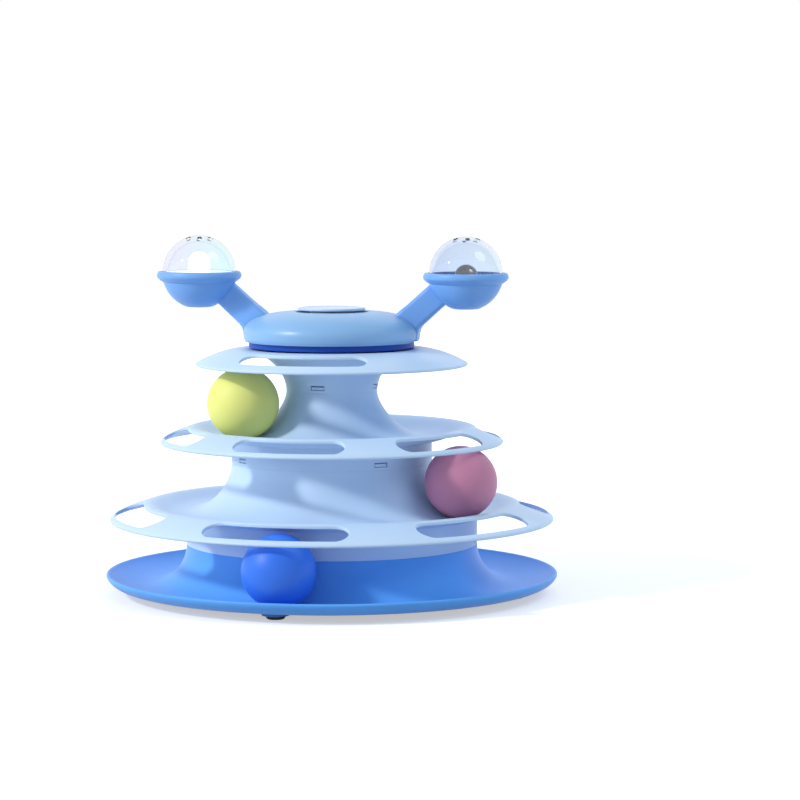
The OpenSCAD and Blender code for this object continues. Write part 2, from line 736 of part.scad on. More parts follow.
module lamp_diffuser() color("white") at_pod(-1) translate([0, 0, drum_top]) rotate_extrude()
    difference() {
        union() {
            square([diffuser_r, diffuser_h - diffuser_r]);
            translate([0, diffuser_h - diffuser_r]) intersection() {
                circle(r = diffuser_r);
                square([diffuser_r, diffuser_r]);
            }
        }
        translate([0, -overrun])
            square([diffuser_r - diffuser_wall, diffuser_h - diffuser_r + overrun]);
        translate([0, diffuser_h - diffuser_r]) intersection() {
            circle(r = diffuser_r - diffuser_wall);
            translate([0, -overrun]) square([diffuser_r, diffuser_r + overrun]);
        }
    }

base_dish();
foot_pad(0);  // foot_pad_1
foot_pad(1);  // foot_pad_2
foot_pad(2);  // foot_pad_3
foot_pad(3);  // foot_pad_4
lower_track();
middle_track();
top_track();
blue_ball();
pink_ball();
yellow_ball();
head_screw();
head_washer();
head_bush();
head_frame();
head_cover();
head_cap();
rattle_tray();
rattle_ball();
bezel(1);  // rattle_bezel
clear_dome(1);  // rattle_dome
lamp_floor();
lamp_cells();
lamp_drum();
lamp_board();
lamp_led();
lamp_diffuser();
bezel(-1);  // lamp_bezel
clear_dome(-1);  // lamp_dome
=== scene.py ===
"""Looks of the cat ball track toy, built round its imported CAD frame.

A blue base dish and three pale tracks stand on one axis. The dish and the two lower tracks each
carry a ball. Over the third turns a head with two pods on arms: one holds a lamp, the other a
steel ball. Sizes are in millimetres in the classes and become metres when a mesh is made. A turn
is an angle in degrees from the front, -Y, towards +X.
"""

import logging
import math
from dataclasses import dataclass
from enum import Enum
from typing import Callable, Optional, Sequence, Union

import bmesh
import bpy
from mathutils import Matrix, Vector


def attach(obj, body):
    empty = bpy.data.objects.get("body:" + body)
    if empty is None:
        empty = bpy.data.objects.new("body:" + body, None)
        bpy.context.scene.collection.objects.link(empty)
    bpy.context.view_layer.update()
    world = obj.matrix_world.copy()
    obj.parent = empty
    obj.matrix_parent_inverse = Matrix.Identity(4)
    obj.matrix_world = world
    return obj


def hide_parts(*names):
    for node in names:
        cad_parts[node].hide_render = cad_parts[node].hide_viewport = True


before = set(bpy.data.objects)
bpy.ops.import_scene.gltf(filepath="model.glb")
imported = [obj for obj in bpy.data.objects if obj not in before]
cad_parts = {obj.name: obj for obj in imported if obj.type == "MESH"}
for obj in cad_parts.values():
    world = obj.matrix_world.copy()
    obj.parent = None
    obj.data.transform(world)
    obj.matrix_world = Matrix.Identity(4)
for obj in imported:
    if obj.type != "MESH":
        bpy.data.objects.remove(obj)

MM = 0.001
NEAR = 1e-6
WHITE = (1.0, 1.0, 1.0, 1.0)
Point = tuple[float, float]
Corner = tuple[float, float, float]
Place = tuple[float, float, float]
Colour = tuple[float, float, float]
Socket = bpy.types.NodeSocket
log = logging.getLogger("ball_track_tower")


class Body(str, Enum):
    """The rigid bodies of the CAD frame that pieces ride on."""

    TOWER = "tower"
    HEAD = "head"
    BASE_BALL = "base_ball"
    LOWER_BALL = "lower_ball"
    MIDDLE_BALL = "middle_ball"
    RATTLE = "rattle"


class Side(Enum):
    """The two ends of the head: +1 towards +X, -1 towards -X."""

    RATTLE = 1
    LAMP = -1


def linked(name: str, data: bpy.types.ID) -> bpy.types.Object:
    """Put a new object in the scene.

    Args:
        name: Its name.
        data: Its mesh, camera or light.

    Returns:
        The object.
    """
    obj = bpy.data.objects.new(name, data)
    bpy.context.scene.collection.objects.link(obj)
    return obj


# Outlines


def between(a: Point, b: Point, share: float) -> Point:
    """The point at a share of the way from a to b."""
    return a[0] + share * (b[0] - a[0]), a[1] + share * (b[1] - a[1])


def bezier(a: Point, b: Point, c: Point, d: Point, steps: int = 24) -> list[Point]:
    """Points along a cubic curve.

    Args:
        a, b, c, d: The curve's four control points.
        steps: Number of spans.

    Returns:
        steps + 1 points, from a to d.
    """
    out = []
    for i in range(steps + 1):
        t = i / steps
        shares = ((1 - t) ** 3, 3 * (1 - t) ** 2 * t, 3 * (1 - t) * t * t, t ** 3)
        out.append(tuple(sum(k * p[axis] for k, p in zip(shares, (a, b, c, d))) for axis in (0, 1)))
    return out


def flared(start: Point, end: Point, rise: float, run: float, steps: int) -> list[Point]:
    """Points along a curve that leaves its start upright and comes level to its end.

    Args:
        start, end: The curve's ends.
        rise: Share of its height over which it stays upright.
        run: Share of its width over which it comes level.
        steps: Number of spans.

    Returns:
        steps + 1 points.
    """
    (x0, z0), (x1, z1) = start, end
    return bezier(start, (x0, z0 + rise * (z1 - z0)), (x1 - run * (x1 - x0), z1), end, steps)


def arc(radius: float, first: float, last: float, steps: int,
        middle: Point = (0.0, 0.0)) -> list[Point]:
    """Points along an arc.

    Args:
        radius: Its radius.
        first, last: Angles of its ends above the level, in radians.
        steps: Number of spans.
        middle: Its middle.

    Returns:
        steps + 1 points, from first to last.
    """
    angles = [first + (last - first) * k / steps for k in range(steps + 1)]
    return [(middle[0] + radius * math.cos(a), middle[1] + radius * math.sin(a)) for a in angles]


def beside(path: Sequence[Point], gap: float) -> list[Point]:
    """The other face of a wall.

    Args:
        path: One face of the wall.
        gap: Thickness; positive lies on the right of the path.

    Returns:
        As many points as the path has.
    """
    out = []
    for i, p in enumerate(path):
        q0, q1 = path[max(i - 1, 0)], path[min(i + 1, len(path) - 1)]
        v = Vector((q1[0] - q0[0], q1[1] - q0[1])).normalized()
        out.append((p[0] + gap * v.y, p[1] - gap * v.x))
    return out


def softened(corners: Sequence[Corner], steps: int = 5) -> list[Point]:
    """A closed outline with rounded corners.

    Args:
        corners: Radius, height and rounding of each corner, in order.
        steps: Spans of each rounding.

    Returns:
        The outline's points, without the first repeated.
    """
    most = 0.49
    out: list[Point] = []
    for i, (r, z, rounding) in enumerate(corners):
        here = Vector((r, z))
        before = Vector(corners[i - 1][:2]) - here
        after = Vector(corners[(i + 1) % len(corners)][:2]) - here
        if rounding <= 0 or before.length == 0 or after.length == 0:
            out.append((r, z))
            continue
        half = before.angle(after) / 2
        reach = min(rounding / math.tan(half), before.length * most, after.length * most)
        a, b = here + before.normalized() * reach, here + after.normalized() * reach
        for k in range(steps + 1):
            t = k / steps
            p = a * (1 - t) ** 2 + here * (2 * (1 - t) * t) + b * t * t
            out.append((max(p.x, 0.0), p.y))
    return out


def rim_round(path: Sequence[Point], wall: float, steps: int = 8) -> list[Point]:
    """Half-round edge at the far end of a wall.

    Args:
        path: The wall's upper face, ending at the rim.
        wall: Thickness of the wall, which lies on the right of the path.
        steps: Spans of the rounding.

    Returns:
        Points from the upper face to the lower one, without their own ends.
    """
    ahead = (Vector(path[-1]) - Vector(path[-2])).normalized()
    down = Vector((ahead.y, -ahead.x))
    middle = Vector(path[-1]) + down * wall / 2
    turns = arc(wall / 2, math.pi / 2, -math.pi / 2, steps)[1:-1]
    return [tuple(middle + forward * ahead - lift * down) for forward, lift in turns]


def crossing(path: Sequence[Point], axis: int, *values: float) -> list[Point]:
    """The path with a point put in where it first crosses each value.

    Args:
        path: Points of the path.
        axis: 0 for the radius, 1 for the height.
        values: Where to put the points.

    Returns:
        The longer path.
    """
    out = list(path)
    for value in values:
        for i, (a, b) in enumerate(zip(out, out[1:])):
            if min(a[axis], b[axis]) < value < max(a[axis], b[axis]):
                out.insert(i + 1, between(a, b, (value - a[axis]) / (b[axis] - a[axis])))
                break
    return out


def read_off(path: Sequence[Point], axis: int, value: float) -> float:
    """Read a path whose one coordinate grows.

    Args:
        path: Points of the path.
        axis: The growing coordinate: 0 for the radius, 1 for the height.
        value: Where to read.

    Returns:
        The other coordinate there, or that of the nearer end.
    """
    other = 1 - axis
    for a, b in zip(path, path[1:]):
        if a[axis] <= value <= b[axis] and b[axis] > a[axis]:
            return between(a, b, (value - a[axis]) / (b[axis] - a[axis]))[other]
    return path[-1 if value > path[-1][axis] else 0][other]


def spun(radius: float, height: float, turn: float) -> Vector:
    """A point at a radius and height, turned from the front by turn degrees."""
    a = math.radians(turn)
    return Vector((radius * math.sin(a), -radius * math.cos(a), height))


# Nodes and finishes


class Wiring:
    """Short calls that add and feed the nodes of one tree."""

    def __init__(self, tree: bpy.types.NodeTree) -> None:
        """Keep the tree."""
        self.tree = tree

    @classmethod
    def of(cls, owner: Union[bpy.types.Material, bpy.types.World]) -> "Wiring":
        """Empty the nodes of a material or a world.

        Args:
            owner: The material or the world.

        Returns:
            The wiring of its tree.
        """
        owner.use_nodes = True
        owner.node_tree.nodes.clear()
        return Wiring(owner.node_tree)

    def feed(self, node: bpy.types.Node, feeds: dict) -> None:
        """Feed a node.

        Args:
            node: The node.
            feeds: Name or number of an input to its value, or to the socket that feeds it.
        """
        for key, value in feeds.items():
            if isinstance(value, Socket):
                self.tree.links.new(value, node.inputs[key])
            else:
                node.inputs[key].default_value = value

    def node(self, kind: str, feeds: Optional[dict] = None, **settings: str) -> bpy.types.Node:
        """Add a node.

        Args:
            kind: Type of the node.
            feeds: What feeds it, as in feed.
            settings: Its properties.

        Returns:
            The node.
        """
        node = self.tree.nodes.new(kind)
        for key, value in settings.items():
            setattr(node, key, value)
        self.feed(node, feeds or {})
        return node

    def calc(self, kind: str, *values: Union[float, Socket]) -> Socket:
        """The result of a Math node."""
        return self.node("ShaderNodeMath", dict(enumerate(values)), operation=kind).outputs[0]

    def ranged(self, source: Socket, limits: Sequence[float], ease: str = "LINEAR") -> Socket:
        """Map a value from one range to another.

        Args:
            source: The value.
            limits: From min, from max, to min and to max.
            ease: How it goes from one end to the other.

        Returns:
            The mapped value.
        """
        names = ("From Min", "From Max", "To Min", "To Max")
        feeds = {"Value": source, **dict(zip(names, limits))}
        return self.node("ShaderNodeMapRange", feeds, interpolation_type=ease).outputs["Result"]


class Sketch(Wiring):
    """A material round one Principled shader, with patterns on Object coordinates."""

    def __init__(self, name: str) -> None:
        """Start the material with its shader and output.

        Args:
            name: Name of the material.
        """
        self.material = bpy.data.materials.new(name)
        super().__init__(Wiring.of(self.material).tree)
        self.shader = self.node("ShaderNodeBsdfPrincipled")
        self.node("ShaderNodeOutputMaterial", {"Surface": self.shader.outputs[0]})
        self.place = self.node("ShaderNodeTexCoord").outputs["Object"]

    def noise(self, scale: float, detail: float = 2.0) -> Socket:
        """A noise pattern."""
        feeds = {"Scale": scale, "Detail": detail, "Vector": self.place}
        return self.node("ShaderNodeTexNoise", feeds).outputs["Fac"]

    def mottle(self, low: float, high: float, scale: float, detail: float = 2.0) -> Socket:
        """A noise pattern that runs from low to high."""
        return self.ranged(self.noise(scale, detail), (0.3, 0.7, low, high))

    def tint(self, source: Socket, a: Colour, b: Colour) -> Socket:
        """Blend two colours by a value."""
        feeds = {0: source, 6: (*a, 1), 7: (*b, 1)}
        return self.node("ShaderNodeMix", feeds, data_type="RGBA").outputs[2]

    def bump(self, source: Socket, strength: float, depth: float) -> Socket:
        """Raise the surface by a pattern, by depth in metres."""
        feeds = {"Strength": strength, "Distance": depth, "Height": source}
        return self.node("ShaderNodeBump", feeds).outputs["Normal"]

    def finished(self, feeds: dict) -> bpy.types.Material:
        """Feed the shader and hand out the material."""
        self.feed(self.shader, feeds)
        return self.material


@dataclass(frozen=True)
class MouldedPlastic:
    """Satin moulded plastic with a faint grain and a little flow mottling."""

    name: str
    slot: str
    colour: Colour
    roughness: float = 0.36
    shift: float = 0.05
    glow: float = 0.0
    gloss: float = 0.5

    def build(self) -> bpy.types.Material:
        """Make the material.

        Returns:
            The material.
        """
        s, low, high = Sketch(self.name), self.roughness - 0.03, self.roughness + 0.04
        deep, pale = (tuple(min(1.0, v * (1 + way * self.shift)) for v in self.colour)
                      for way in (-1, 1))
        return s.finished({
            "Base Color": s.tint(s.mottle(0.0, 1.0, scale=14.0), deep, pale),
            "Roughness": s.mottle(low, high, scale=55.0, detail=4.0),
            "Normal": s.bump(s.noise(scale=2600.0, detail=1.0), strength=0.06, depth=0.00004),
            "IOR": 1.49, "Specular IOR Level": self.gloss,
            "Emission Color": WHITE, "Emission Strength": self.glow})


@dataclass(frozen=True)
class ClearPlastic:
    """Clear polystyrene with faint smudges, tinted across as a painted pearly sheen."""

    name: str
    slot: str
    colour: Colour
    far: Colour
    middle: float
    half: float = 0.014

    def build(self) -> bpy.types.Material:
        """Make the material.

        Returns:
            The material.
        """
        s = Sketch(self.name)
        # The tint that turns across X is painted reflection: the dome's pearly sheen drawn into its colour.
        across = s.node("ShaderNodeSeparateXYZ", {0: s.place}).outputs["X"]
        turn = s.ranged(across, (self.middle - self.half, self.middle + self.half, 0.0, 1.0))
        return s.finished({"Base Color": s.tint(turn, self.colour, self.far),
                           "Roughness": s.mottle(0.01, 0.05, scale=60.0, detail=3.0),
                           "Transmission Weight": 1.0, "IOR": 1.5})


@dataclass(frozen=True)
class PolishedMetal:
    """Bare metal with a fine haze."""

    name: str
    slot: str
    colour: Colour
    roughness: float = 0.08

    def build(self) -> bpy.types.Material:
        """Make the material.

        Returns:
            The material.
        """
        s = Sketch(self.name)
        deep = tuple(v * 0.92 for v in self.colour)
        haze = s.mottle(self.roughness, self.roughness + 0.06, scale=240.0, detail=3.0)
        return s.finished({"Base Color": s.tint(s.noise(scale=160.0, detail=3.0), deep, self.colour),
                           "Roughness": haze, "Metallic": 1.0})


Finish = Union[MouldedPlastic, ClearPlastic, PolishedMetal]


class Finishes:
    """Every finish on the toy, each made once and handed out by name."""

    base_blue = MouldedPlastic("base_blue", "blue_shell", (0.11, 0.37, 0.88), 0.38, gloss=0.15)
    pale_blue = MouldedPlastic("pale_track_blue", "pale_shell", (0.50, 0.66, 0.88), 0.40, 0.02,
                               gloss=0.35)
    # Near-black navy for the plate under the cover: painted shade, coloured as the dark shaded gap under
    # the cover's edge, not the plate's own blue.
    hub_painted_shade_navy = MouldedPlastic("hub_painted_shade_navy", "head_blue", (0.012, 0.07, 0.42), 0.45, gloss=0.2)
    head_blue = MouldedPlastic("head_blue", "head_blue", (0.17, 0.38, 0.80), 0.38, gloss=0.3)
    cover_blue = MouldedPlastic("cover_blue", "cover_blue", (0.22, 0.42, 0.71), 0.36, gloss=0.4)
    cap_lavender = MouldedPlastic("cap_lavender", "cap_lavender", (0.55, 0.67, 0.88), 0.40, 0.02,
                                  gloss=0.3)
    ball_blue = MouldedPlastic("ball_blue", "ball_blue", (0.035, 0.18, 0.84), 0.42, gloss=0.35)
    ball_pink = MouldedPlastic("ball_pink", "ball_pink", (0.50, 0.20, 0.33), 0.46, gloss=0.45)
    ball_yellow = MouldedPlastic("ball_yellow", "ball_yellow", (0.74, 0.76, 0.22), 0.48, gloss=0.3)
    # The drum's white glows a little: painted light, standing in for the lamp's light falling on the drum
    # and the floor under the diffuser.
    lamp_white = MouldedPlastic("lamp_white", "lamp_white", (0.86, 0.88, 0.90), 0.35, 0.01, 0.55)
    diffuser = MouldedPlastic("diffuser_milk", "diffuser_milk", (0.93, 0.96, 0.98), 0.5, 0.01, 1.2)
    led = MouldedPlastic("led_clear", "led_clear", (0.92, 0.94, 0.97), 0.15, 0.01, 1.0)
    rubber = MouldedPlastic("foot_rubber", "foot_rubber", (0.018, 0.018, 0.020), 0.7)
    bush = MouldedPlastic("bush_plastic", "bush_plastic", (0.74, 0.72, 0.62), 0.4)
    board = MouldedPlastic("board_green", "board_green", (0.02, 0.16, 0.06), 0.3, 0.15)
    # Each dome's two tints are a painted pearly reflection that turns from one side to the other.
    dome_left = ClearPlastic("clear_dome_lamp", "clear_dome", (0.90, 0.91, 0.985),
                             (0.84, 0.97, 0.985), -0.072)
    dome_right = ClearPlastic("clear_dome_rattle", "clear_dome", (0.79, 0.86, 0.985),
                              (0.84, 0.92, 0.985), 0.074)
    # The ball's steel is darkened well below real steel: painted reflection of dark surroundings, so that
    # the lamp's highlight shows against it.
    steel_ball_painted_dark = PolishedMetal("rattle_steel", "rattle_steel", (0.17, 0.155, 0.145), 0.05)
    fastener = PolishedMetal("fastener_steel", "fastener_steel", (0.60, 0.60, 0.60), 0.25)
    cell = PolishedMetal("cell_steel", "cell_steel", (0.62, 0.62, 0.62), 0.2)

    def __init__(self) -> None:
        """Start with no material made."""
        self._made: dict[str, bpy.types.Material] = {}

    def material(self, finish: Finish) -> bpy.types.Material:
        """Make a finish's material on first use.

        Args:
            finish: The finish.

        Returns:
            Its material.
        """
        if finish.name not in self._made:
            self._made[finish.name] = finish.build()
        return self._made[finish.name]


# Meshes


class Mesher:
    """Vertices and faces of one piece while it is being built, in millimetres."""

    def __init__(self) -> None:
        """Start empty."""
        self.points: list[Vector] = []
        self.faces: list[tuple[int, ...]] = []

    def add(self, point: Vector) -> int:
        """Add a point and return its number."""
        self.points.append(point)
        return len(self.points) - 1

    def rings(self, path: Sequence[Point], turns: Sequence[float]) -> list[list[int]]:
        """Add a ring of points for each point of a path, with one at each turn."""
        return [[self.add(spun(r, z, t)) for t in turns] for r, z in path]

    def band(self, a: Sequence[int], b: Sequence[int],
             keep: Optional[Callable[[int], bool]] = None) -> None:
        """Join two closed rows of points with quads.

        Args:
            a: The first row.
            b: The second row, as long as the first.
            keep: Says which columns get a quad; all do without it.
        """
        for j in range(len(a)):
            if keep is None or keep(j):
                k = (j + 1) % len(a)
                self.faces.append((a[j], a[k], b[k], b[j]))

    def strip(self, rows: Sequence[Sequence[int]]) -> None:
        """Join a run of closed rows."""
        for a, b in zip(rows, rows[1:]):
            self.band(a, b)

    def join(self, other: "Mesher", move: Optional[Matrix] = None) -> None:
        """Take in another piece's faces.

        Args:
            other: The other piece.
            move: Where it goes.
        """
        base = len(self.points)
        self.points += [move @ p if move else p.copy() for p in other.points]
        self.faces += [tuple(base + i for i in f) for f in other.faces]

    def moved(self, move: Matrix) -> "Mesher":
        """Move the piece.

        Args:
            move: Where it goes.

        Returns:
            A moved copy.
        """
        out = Mesher()
        out.join(self, move)
        return out

    def mesh(self, name: str, sharp: float = 32.0) -> bpy.types.Mesh:
        """Weld, turn the faces outwards and shade the piece.

        Args:
            name: Name of the mesh.
            sharp: Edges that bend by more degrees than this stay crisp.

        Returns:
            The mesh, in metres.
        """
        bm = bmesh.new()
        verts = [bm.verts.new(p * MM) for p in self.points]
        for f in self.faces:
            if len(set(f)) == len(f):
                try:
                    bm.faces.new([verts[i] for i in f])
                except ValueError:
                    continue
        bmesh.ops.remove_doubles(bm, verts=bm.verts, dist=2e-6)
        bmesh.ops.dissolve_degenerate(bm, dist=1e-7, edges=bm.edges)
        bmesh.ops.recalc_face_normals(bm, faces=bm.faces)
        for f in bm.faces:
            f.smooth = True
        limit = math.radians(sharp)
        for e in bm.edges:
            e.smooth = len(e.link_faces) != 2 or e.calc_face_angle(0.0) < limit
        mesh = bpy.data.meshes.new(name)
        bm.to_mesh(mesh)
        bm.free()
        return mesh


class PieceTree(Wiring):
    """A Geometry Nodes group that ends in one painted piece."""

    def __init__(self, name: str, inputs: dict[str, str]) -> None:
        """Open the group.

        Args:
            name: Name of the group.
            inputs: Name of each input, the Finish aside, to the kind of its socket.
        """
        super().__init__(bpy.data.node_groups.new(name, "GeometryNodeTree"))
        new = self.tree.interface.new_socket
        self.keys = {key: new(key, in_out="INPUT", socket_type=f"NodeSocket{kind}").identifier
                     for key, kind in {**inputs, "Finish": "Material"}.items()}
        new("Piece", in_out="OUTPUT", socket_type="NodeSocketGeometry")
        self.start = self.node("NodeGroupInput").outputs

    def close(self, made: Socket) -> None:
        """Realize what was made, paint it and end the group.

        Args:
            made: The geometry.
        """
        real = self.node("GeometryNodeRealizeInstances", {0: made}).outputs[0]
        feeds = {"Geometry": real, "Material": self.start["Finish"]}
        self.node("NodeGroupOutput", {0: self.node("GeometryNodeSetMaterial", feeds).outputs[0]})

    def grown(self, source: bpy.types.Mesh, values: dict) -> Mesher:
        """Run the group on a mesh.

        Args:
            source: The mesh that the group starts from.
            values: Name of each other input to its value.

        Returns:
            What comes out, in millimetres.
        """
        holder = linked("blank", source)
        modifier = holder.modifiers.new("grow", "NODES")
        modifier.node_group = self.tree
        for key, value in values.items():
            modifier[self.keys[key]] = value
        bpy.context.view_layer.update()
        graph = bpy.context.evaluated_depsgraph_get()
        mesh = bpy.data.meshes.new_from_object(holder.evaluated_get(graph), depsgraph=graph)
        bpy.data.objects.remove(holder)
        out = Mesher()
        out.points = [v.co / MM for v in mesh.vertices]
        out.faces = [tuple(p.vertices) for p in mesh.polygons]
        return out


class TurnedTree(PieceTree):
    """Turns an outline about the axis."""

    def __init__(self) -> None:
        """Wire a grid whose rows follow the outline and whose columns go round."""
        super().__init__("turned_outline",
                         {"Outline": "Geometry", "Segments": "Int", "Weld Distance": "Float"})
        node, calc, outline = self.node, self.calc, self.start["Outline"]
        count = node("GeometryNodeAttributeDomainSize", {0: outline}).outputs["Point Count"]
        grid = node("GeometryNodeMeshGrid", {
            "Size X": 1, "Size Y": 1, "Vertices X": count,
            "Vertices Y": calc("ADD", self.start["Segments"], 1)})
        place = node("GeometryNodeInputPosition").outputs[0]
        across, up, _ = node("ShaderNodeSeparateXYZ", {0: place}).outputs
        row = calc("ROUND", calc("MULTIPLY", calc("ADD", across, 0.5), calc("SUBTRACT", count, 1)))
        turn = calc("MULTIPLY", calc("ADD", up, 0.5), 2 * math.pi)
        sample = node("GeometryNodeSampleIndex", {"Geometry": outline, "Value": place, "Index": row},
                      data_type="FLOAT_VECTOR")
        radius, _, height = node("ShaderNodeSeparateXYZ", {0: sample.outputs[0]}).outputs
        side = calc("MULTIPLY", radius, calc("SINE", turn))
        front = calc("MULTIPLY", calc("MULTIPLY", radius, calc("COSINE", turn)), -1)
        put = node("ShaderNodeCombineXYZ", {0: side, 1: front, 2: height}).outputs[0]
        move = node("GeometryNodeSetPosition", {"Geometry": grid.outputs["Mesh"], "Position": put})
        weld = node("GeometryNodeMergeByDistance", {"Geometry": move.outputs[0],
                                                    "Distance": self.start["Weld Distance"]})
        self.close(weld.outputs[0])


class RoundTree(PieceTree):
    """Repeats a small part round the axis."""

    def __init__(self) -> None:
        """Wire a copy of the part for each turn."""
        super().__init__("repeated_round_axis",
                         {"Part": "Geometry", "Count": "Int", "First Turn": "Float"})
        count = self.start["Count"]
        points = self.node("GeometryNodePoints", {"Count": count}).outputs[0]
        share = self.calc("DIVIDE", self.node("GeometryNodeInputIndex").outputs[0], count)
        turn = self.calc("MULTIPLY_ADD", share, 2 * math.pi, self.start["First Turn"])
        angle = self.node("ShaderNodeCombineXYZ", {2: turn}).outputs[0]
        copies = self.node("GeometryNodeInstanceOnPoints", {
            "Points": points, "Instance": self.start["Part"], "Rotation": angle})
        self.close(copies.outputs[0])


class Workshop:
    """Makes the finished objects and reports them."""

    WELD = 1e-6

    def __init__(self) -> None:
        """Prepare the finishes and the node groups."""
        self.finishes = Finishes()
        self.turned_tree = TurnedTree()
        self.round_tree = RoundTree()

    def turned(self, outline: Sequence[Point], finish: Finish, segments: int = 96,
               closed: bool = True) -> Mesher:
        """Turn an outline about the axis.

        Args:
            outline: Radius and height of each point.
            finish: The finish of the piece.
            segments: Number of columns.
            closed: Whether the last point joins the first.

        Returns:
            The turned piece, in millimetres.
        """
        path = [*outline, outline[0]] if closed else outline
        mesh = bpy.data.meshes.new("outline")
        mesh.from_pydata([(r * MM, 0, z * MM) for r, z in path],
                         [(i, i + 1) for i in range(len(path) - 1)], [])
        return self.turned_tree.grown(mesh, {"Segments": segments, "Weld Distance": self.WELD,
                                             "Finish": self.finishes.material(finish)})

    def ball(self, outline: Sequence[Point], finish: Finish, segments: int) -> Mesher:
        """Turn the outline of a ball, whose ends are put on the axis.

        Args:
            outline: Points from the foot to the top.
            finish: The finish of the ball.
            segments: Number of columns.

        Returns:
            The ball about its middle, in millimetres.
        """
        path = [(0.0, outline[0][1]), *outline[1:-1], (0.0, outline[-1][1])]
        return self.turned(path, finish, segments, closed=False)

    def repeated(self, part: Mesher, finish: Finish, count: int, first: float) -> Mesher:
        """Repeat a small part round the axis.

        Args:
            part: The part, at the front.
            finish: Its finish.
            count: Number of copies.
            first: Turn of the first copy.

        Returns:
            All the copies, in millimetres.
        """
        values = {"Count": count, "First Turn": math.radians(first),
                  "Finish": self.finishes.material(finish)}
        return self.round_tree.grown(part.mesh("part"), values)

    def piece(self, name: str, made: Mesher, finish: Finish, body: Body, nodes: Sequence[str],
              sharp: float = 32.0) -> None:
        """Finish one piece.

        Args:
            name: Name of the object.
            made: Its faces, in millimetres, in place.
            finish: Its finish.
            body: The body that it rides on.
            nodes: The CAD nodes that it stands for.
            sharp: Bend in degrees past which an edge is crisp.
        """
        mesh = made.mesh(name, sharp)
        mesh.materials.append(self.finishes.material(finish))
        obj = linked(name, mesh)
        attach(obj, body.value)
        if nodes:
            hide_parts(*nodes)
        log.info("%s: %d faces on %s for %s", name, len(mesh.polygons), body.value, list(nodes))

    def dress(self, node: str, finish: Finish) -> None:
        """Give a CAD node that stays its own finish.

        Args:
            node: Name of the node.
            finish: Its finish.
        """
        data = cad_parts[node].data
        data.materials.clear()
        data.materials.append(self.finishes.material(finish))
        log.info("%s: CAD node in %s", node, finish.name)


# Walls with slots and windows


@dataclass(frozen=True)
class Slots:
    """A ring of slots with round ends, cut upright through a brim.

    The margin is how far past the slots the brim is meshed with them.
    """

    count: int
    span: float
    inner: float
    width: float
    turn: float
    rounding: float = 0.45
    margin: float = 1.2

    @property
    def outer(self) -> float:
        """Radius of the far side of the slots."""
        return self.inner + self.width

    @property
    def middle(self) -> float:
        """Radius of the middle of the slots."""
        return self.inner + self.width / 2

    @property
    def core(self) -> float:
        """Half the angle between the middles of a slot's round ends."""
        return self.span / 2 - math.degrees(math.asin(min(1.0, self.width / 2 / self.middle)))


@dataclass(frozen=True)
class Window:
    """A window through both skins of a turned wall: its two heights and two turns."""

    low: float
    high: float
    first: float
    last: float

    def fills(self, a: Point, b: Point) -> bool:
        """Whether a span of an outline goes from one height to the other."""
        low, high = sorted((a[1], b[1]))
        return abs(low - self.low) < NEAR and abs(high - self.high) < NEAR


@dataclass(frozen=True)
class Skin:
    """One face of a wall: its outline and its rings of points."""

    path: list[Point]
    rings: list[list[int]]


def walled(out: Mesher, skins: Sequence[Skin], windows: Sequence[Window],
           spans: Sequence[tuple[int, int]], gap: Point = (0.0, 0.0)) -> None:
    """Join the rings of two skins, with windows from one skin to the other.

    Args:
        out: Where the faces go.
        skins: The two skins.
        windows: The windows, all between the same two heights.
        spans: First and last column of each window.
        gap: Radii between which the skins are left open.
    """
    n = len(skins[0].rings[0])
    hole = {(a + k) % n for a, b in spans for k in range((b - a) % n)}
    rows = []
    for skin in skins:
        for i, (p, q) in enumerate(zip(skin.path, skin.path[1:])):
            if gap[0] < (p[0] + q[0]) / 2 < gap[1]:
                continue
            pair = skin.rings[i], skin.rings[i + 1]
            if windows and windows[0].fills(p, q):
                rows.append(pair)
                out.band(*pair, keep=lambda j: j not in hole)
            else:
                out.band(*pair)
    if rows:
        (a0, a1), (b0, b1) = rows
        out.band(a0, b0, keep=lambda j: j in hole)
        out.band(a1, b1, keep=lambda j: j in hole)
        out.faces += [(a0[j], a1[j], b1[j], b0[j]) for j in (k % n for span in spans for k in span)]


def windowed_ring(outer: Sequence[Point], inner: Sequence[Point], windows: Sequence[Window],
                  columns: int = 192) -> Mesher:
    """A collar with windows.

    Args:
        outer: Outer face, upwards.
        inner: Inner face, upwards.
        windows: The windows, all between the same two heights.
        columns: Columns round the axis, apart from the windows' own edges.

    Returns:
        The closed collar.
    """
    digits, apart = 6, 0.6
    spans = [(round(w.first % 360, digits), round(w.last % 360, digits)) for w in windows]
    edges = {t for span in spans for t in span}
    turns = sorted({*edges, *(t for t in (360 * j / columns for j in range(columns))
                              if all(abs((t - e + 180) % 360 - 180) > apart for e in edges))})
    out = Mesher()
    paths = [crossing(path, 1, windows[0].low, windows[0].high) for path in (outer, inner)]
    skins = [Skin(path, out.rings(path, turns)) for path in paths]
    walled(out, skins, windows, [(turns.index(a), turns.index(b)) for a, b in spans])
    for k in (0, -1):
        out.band(skins[0].rings[k], skins[1].rings[k])
    return out


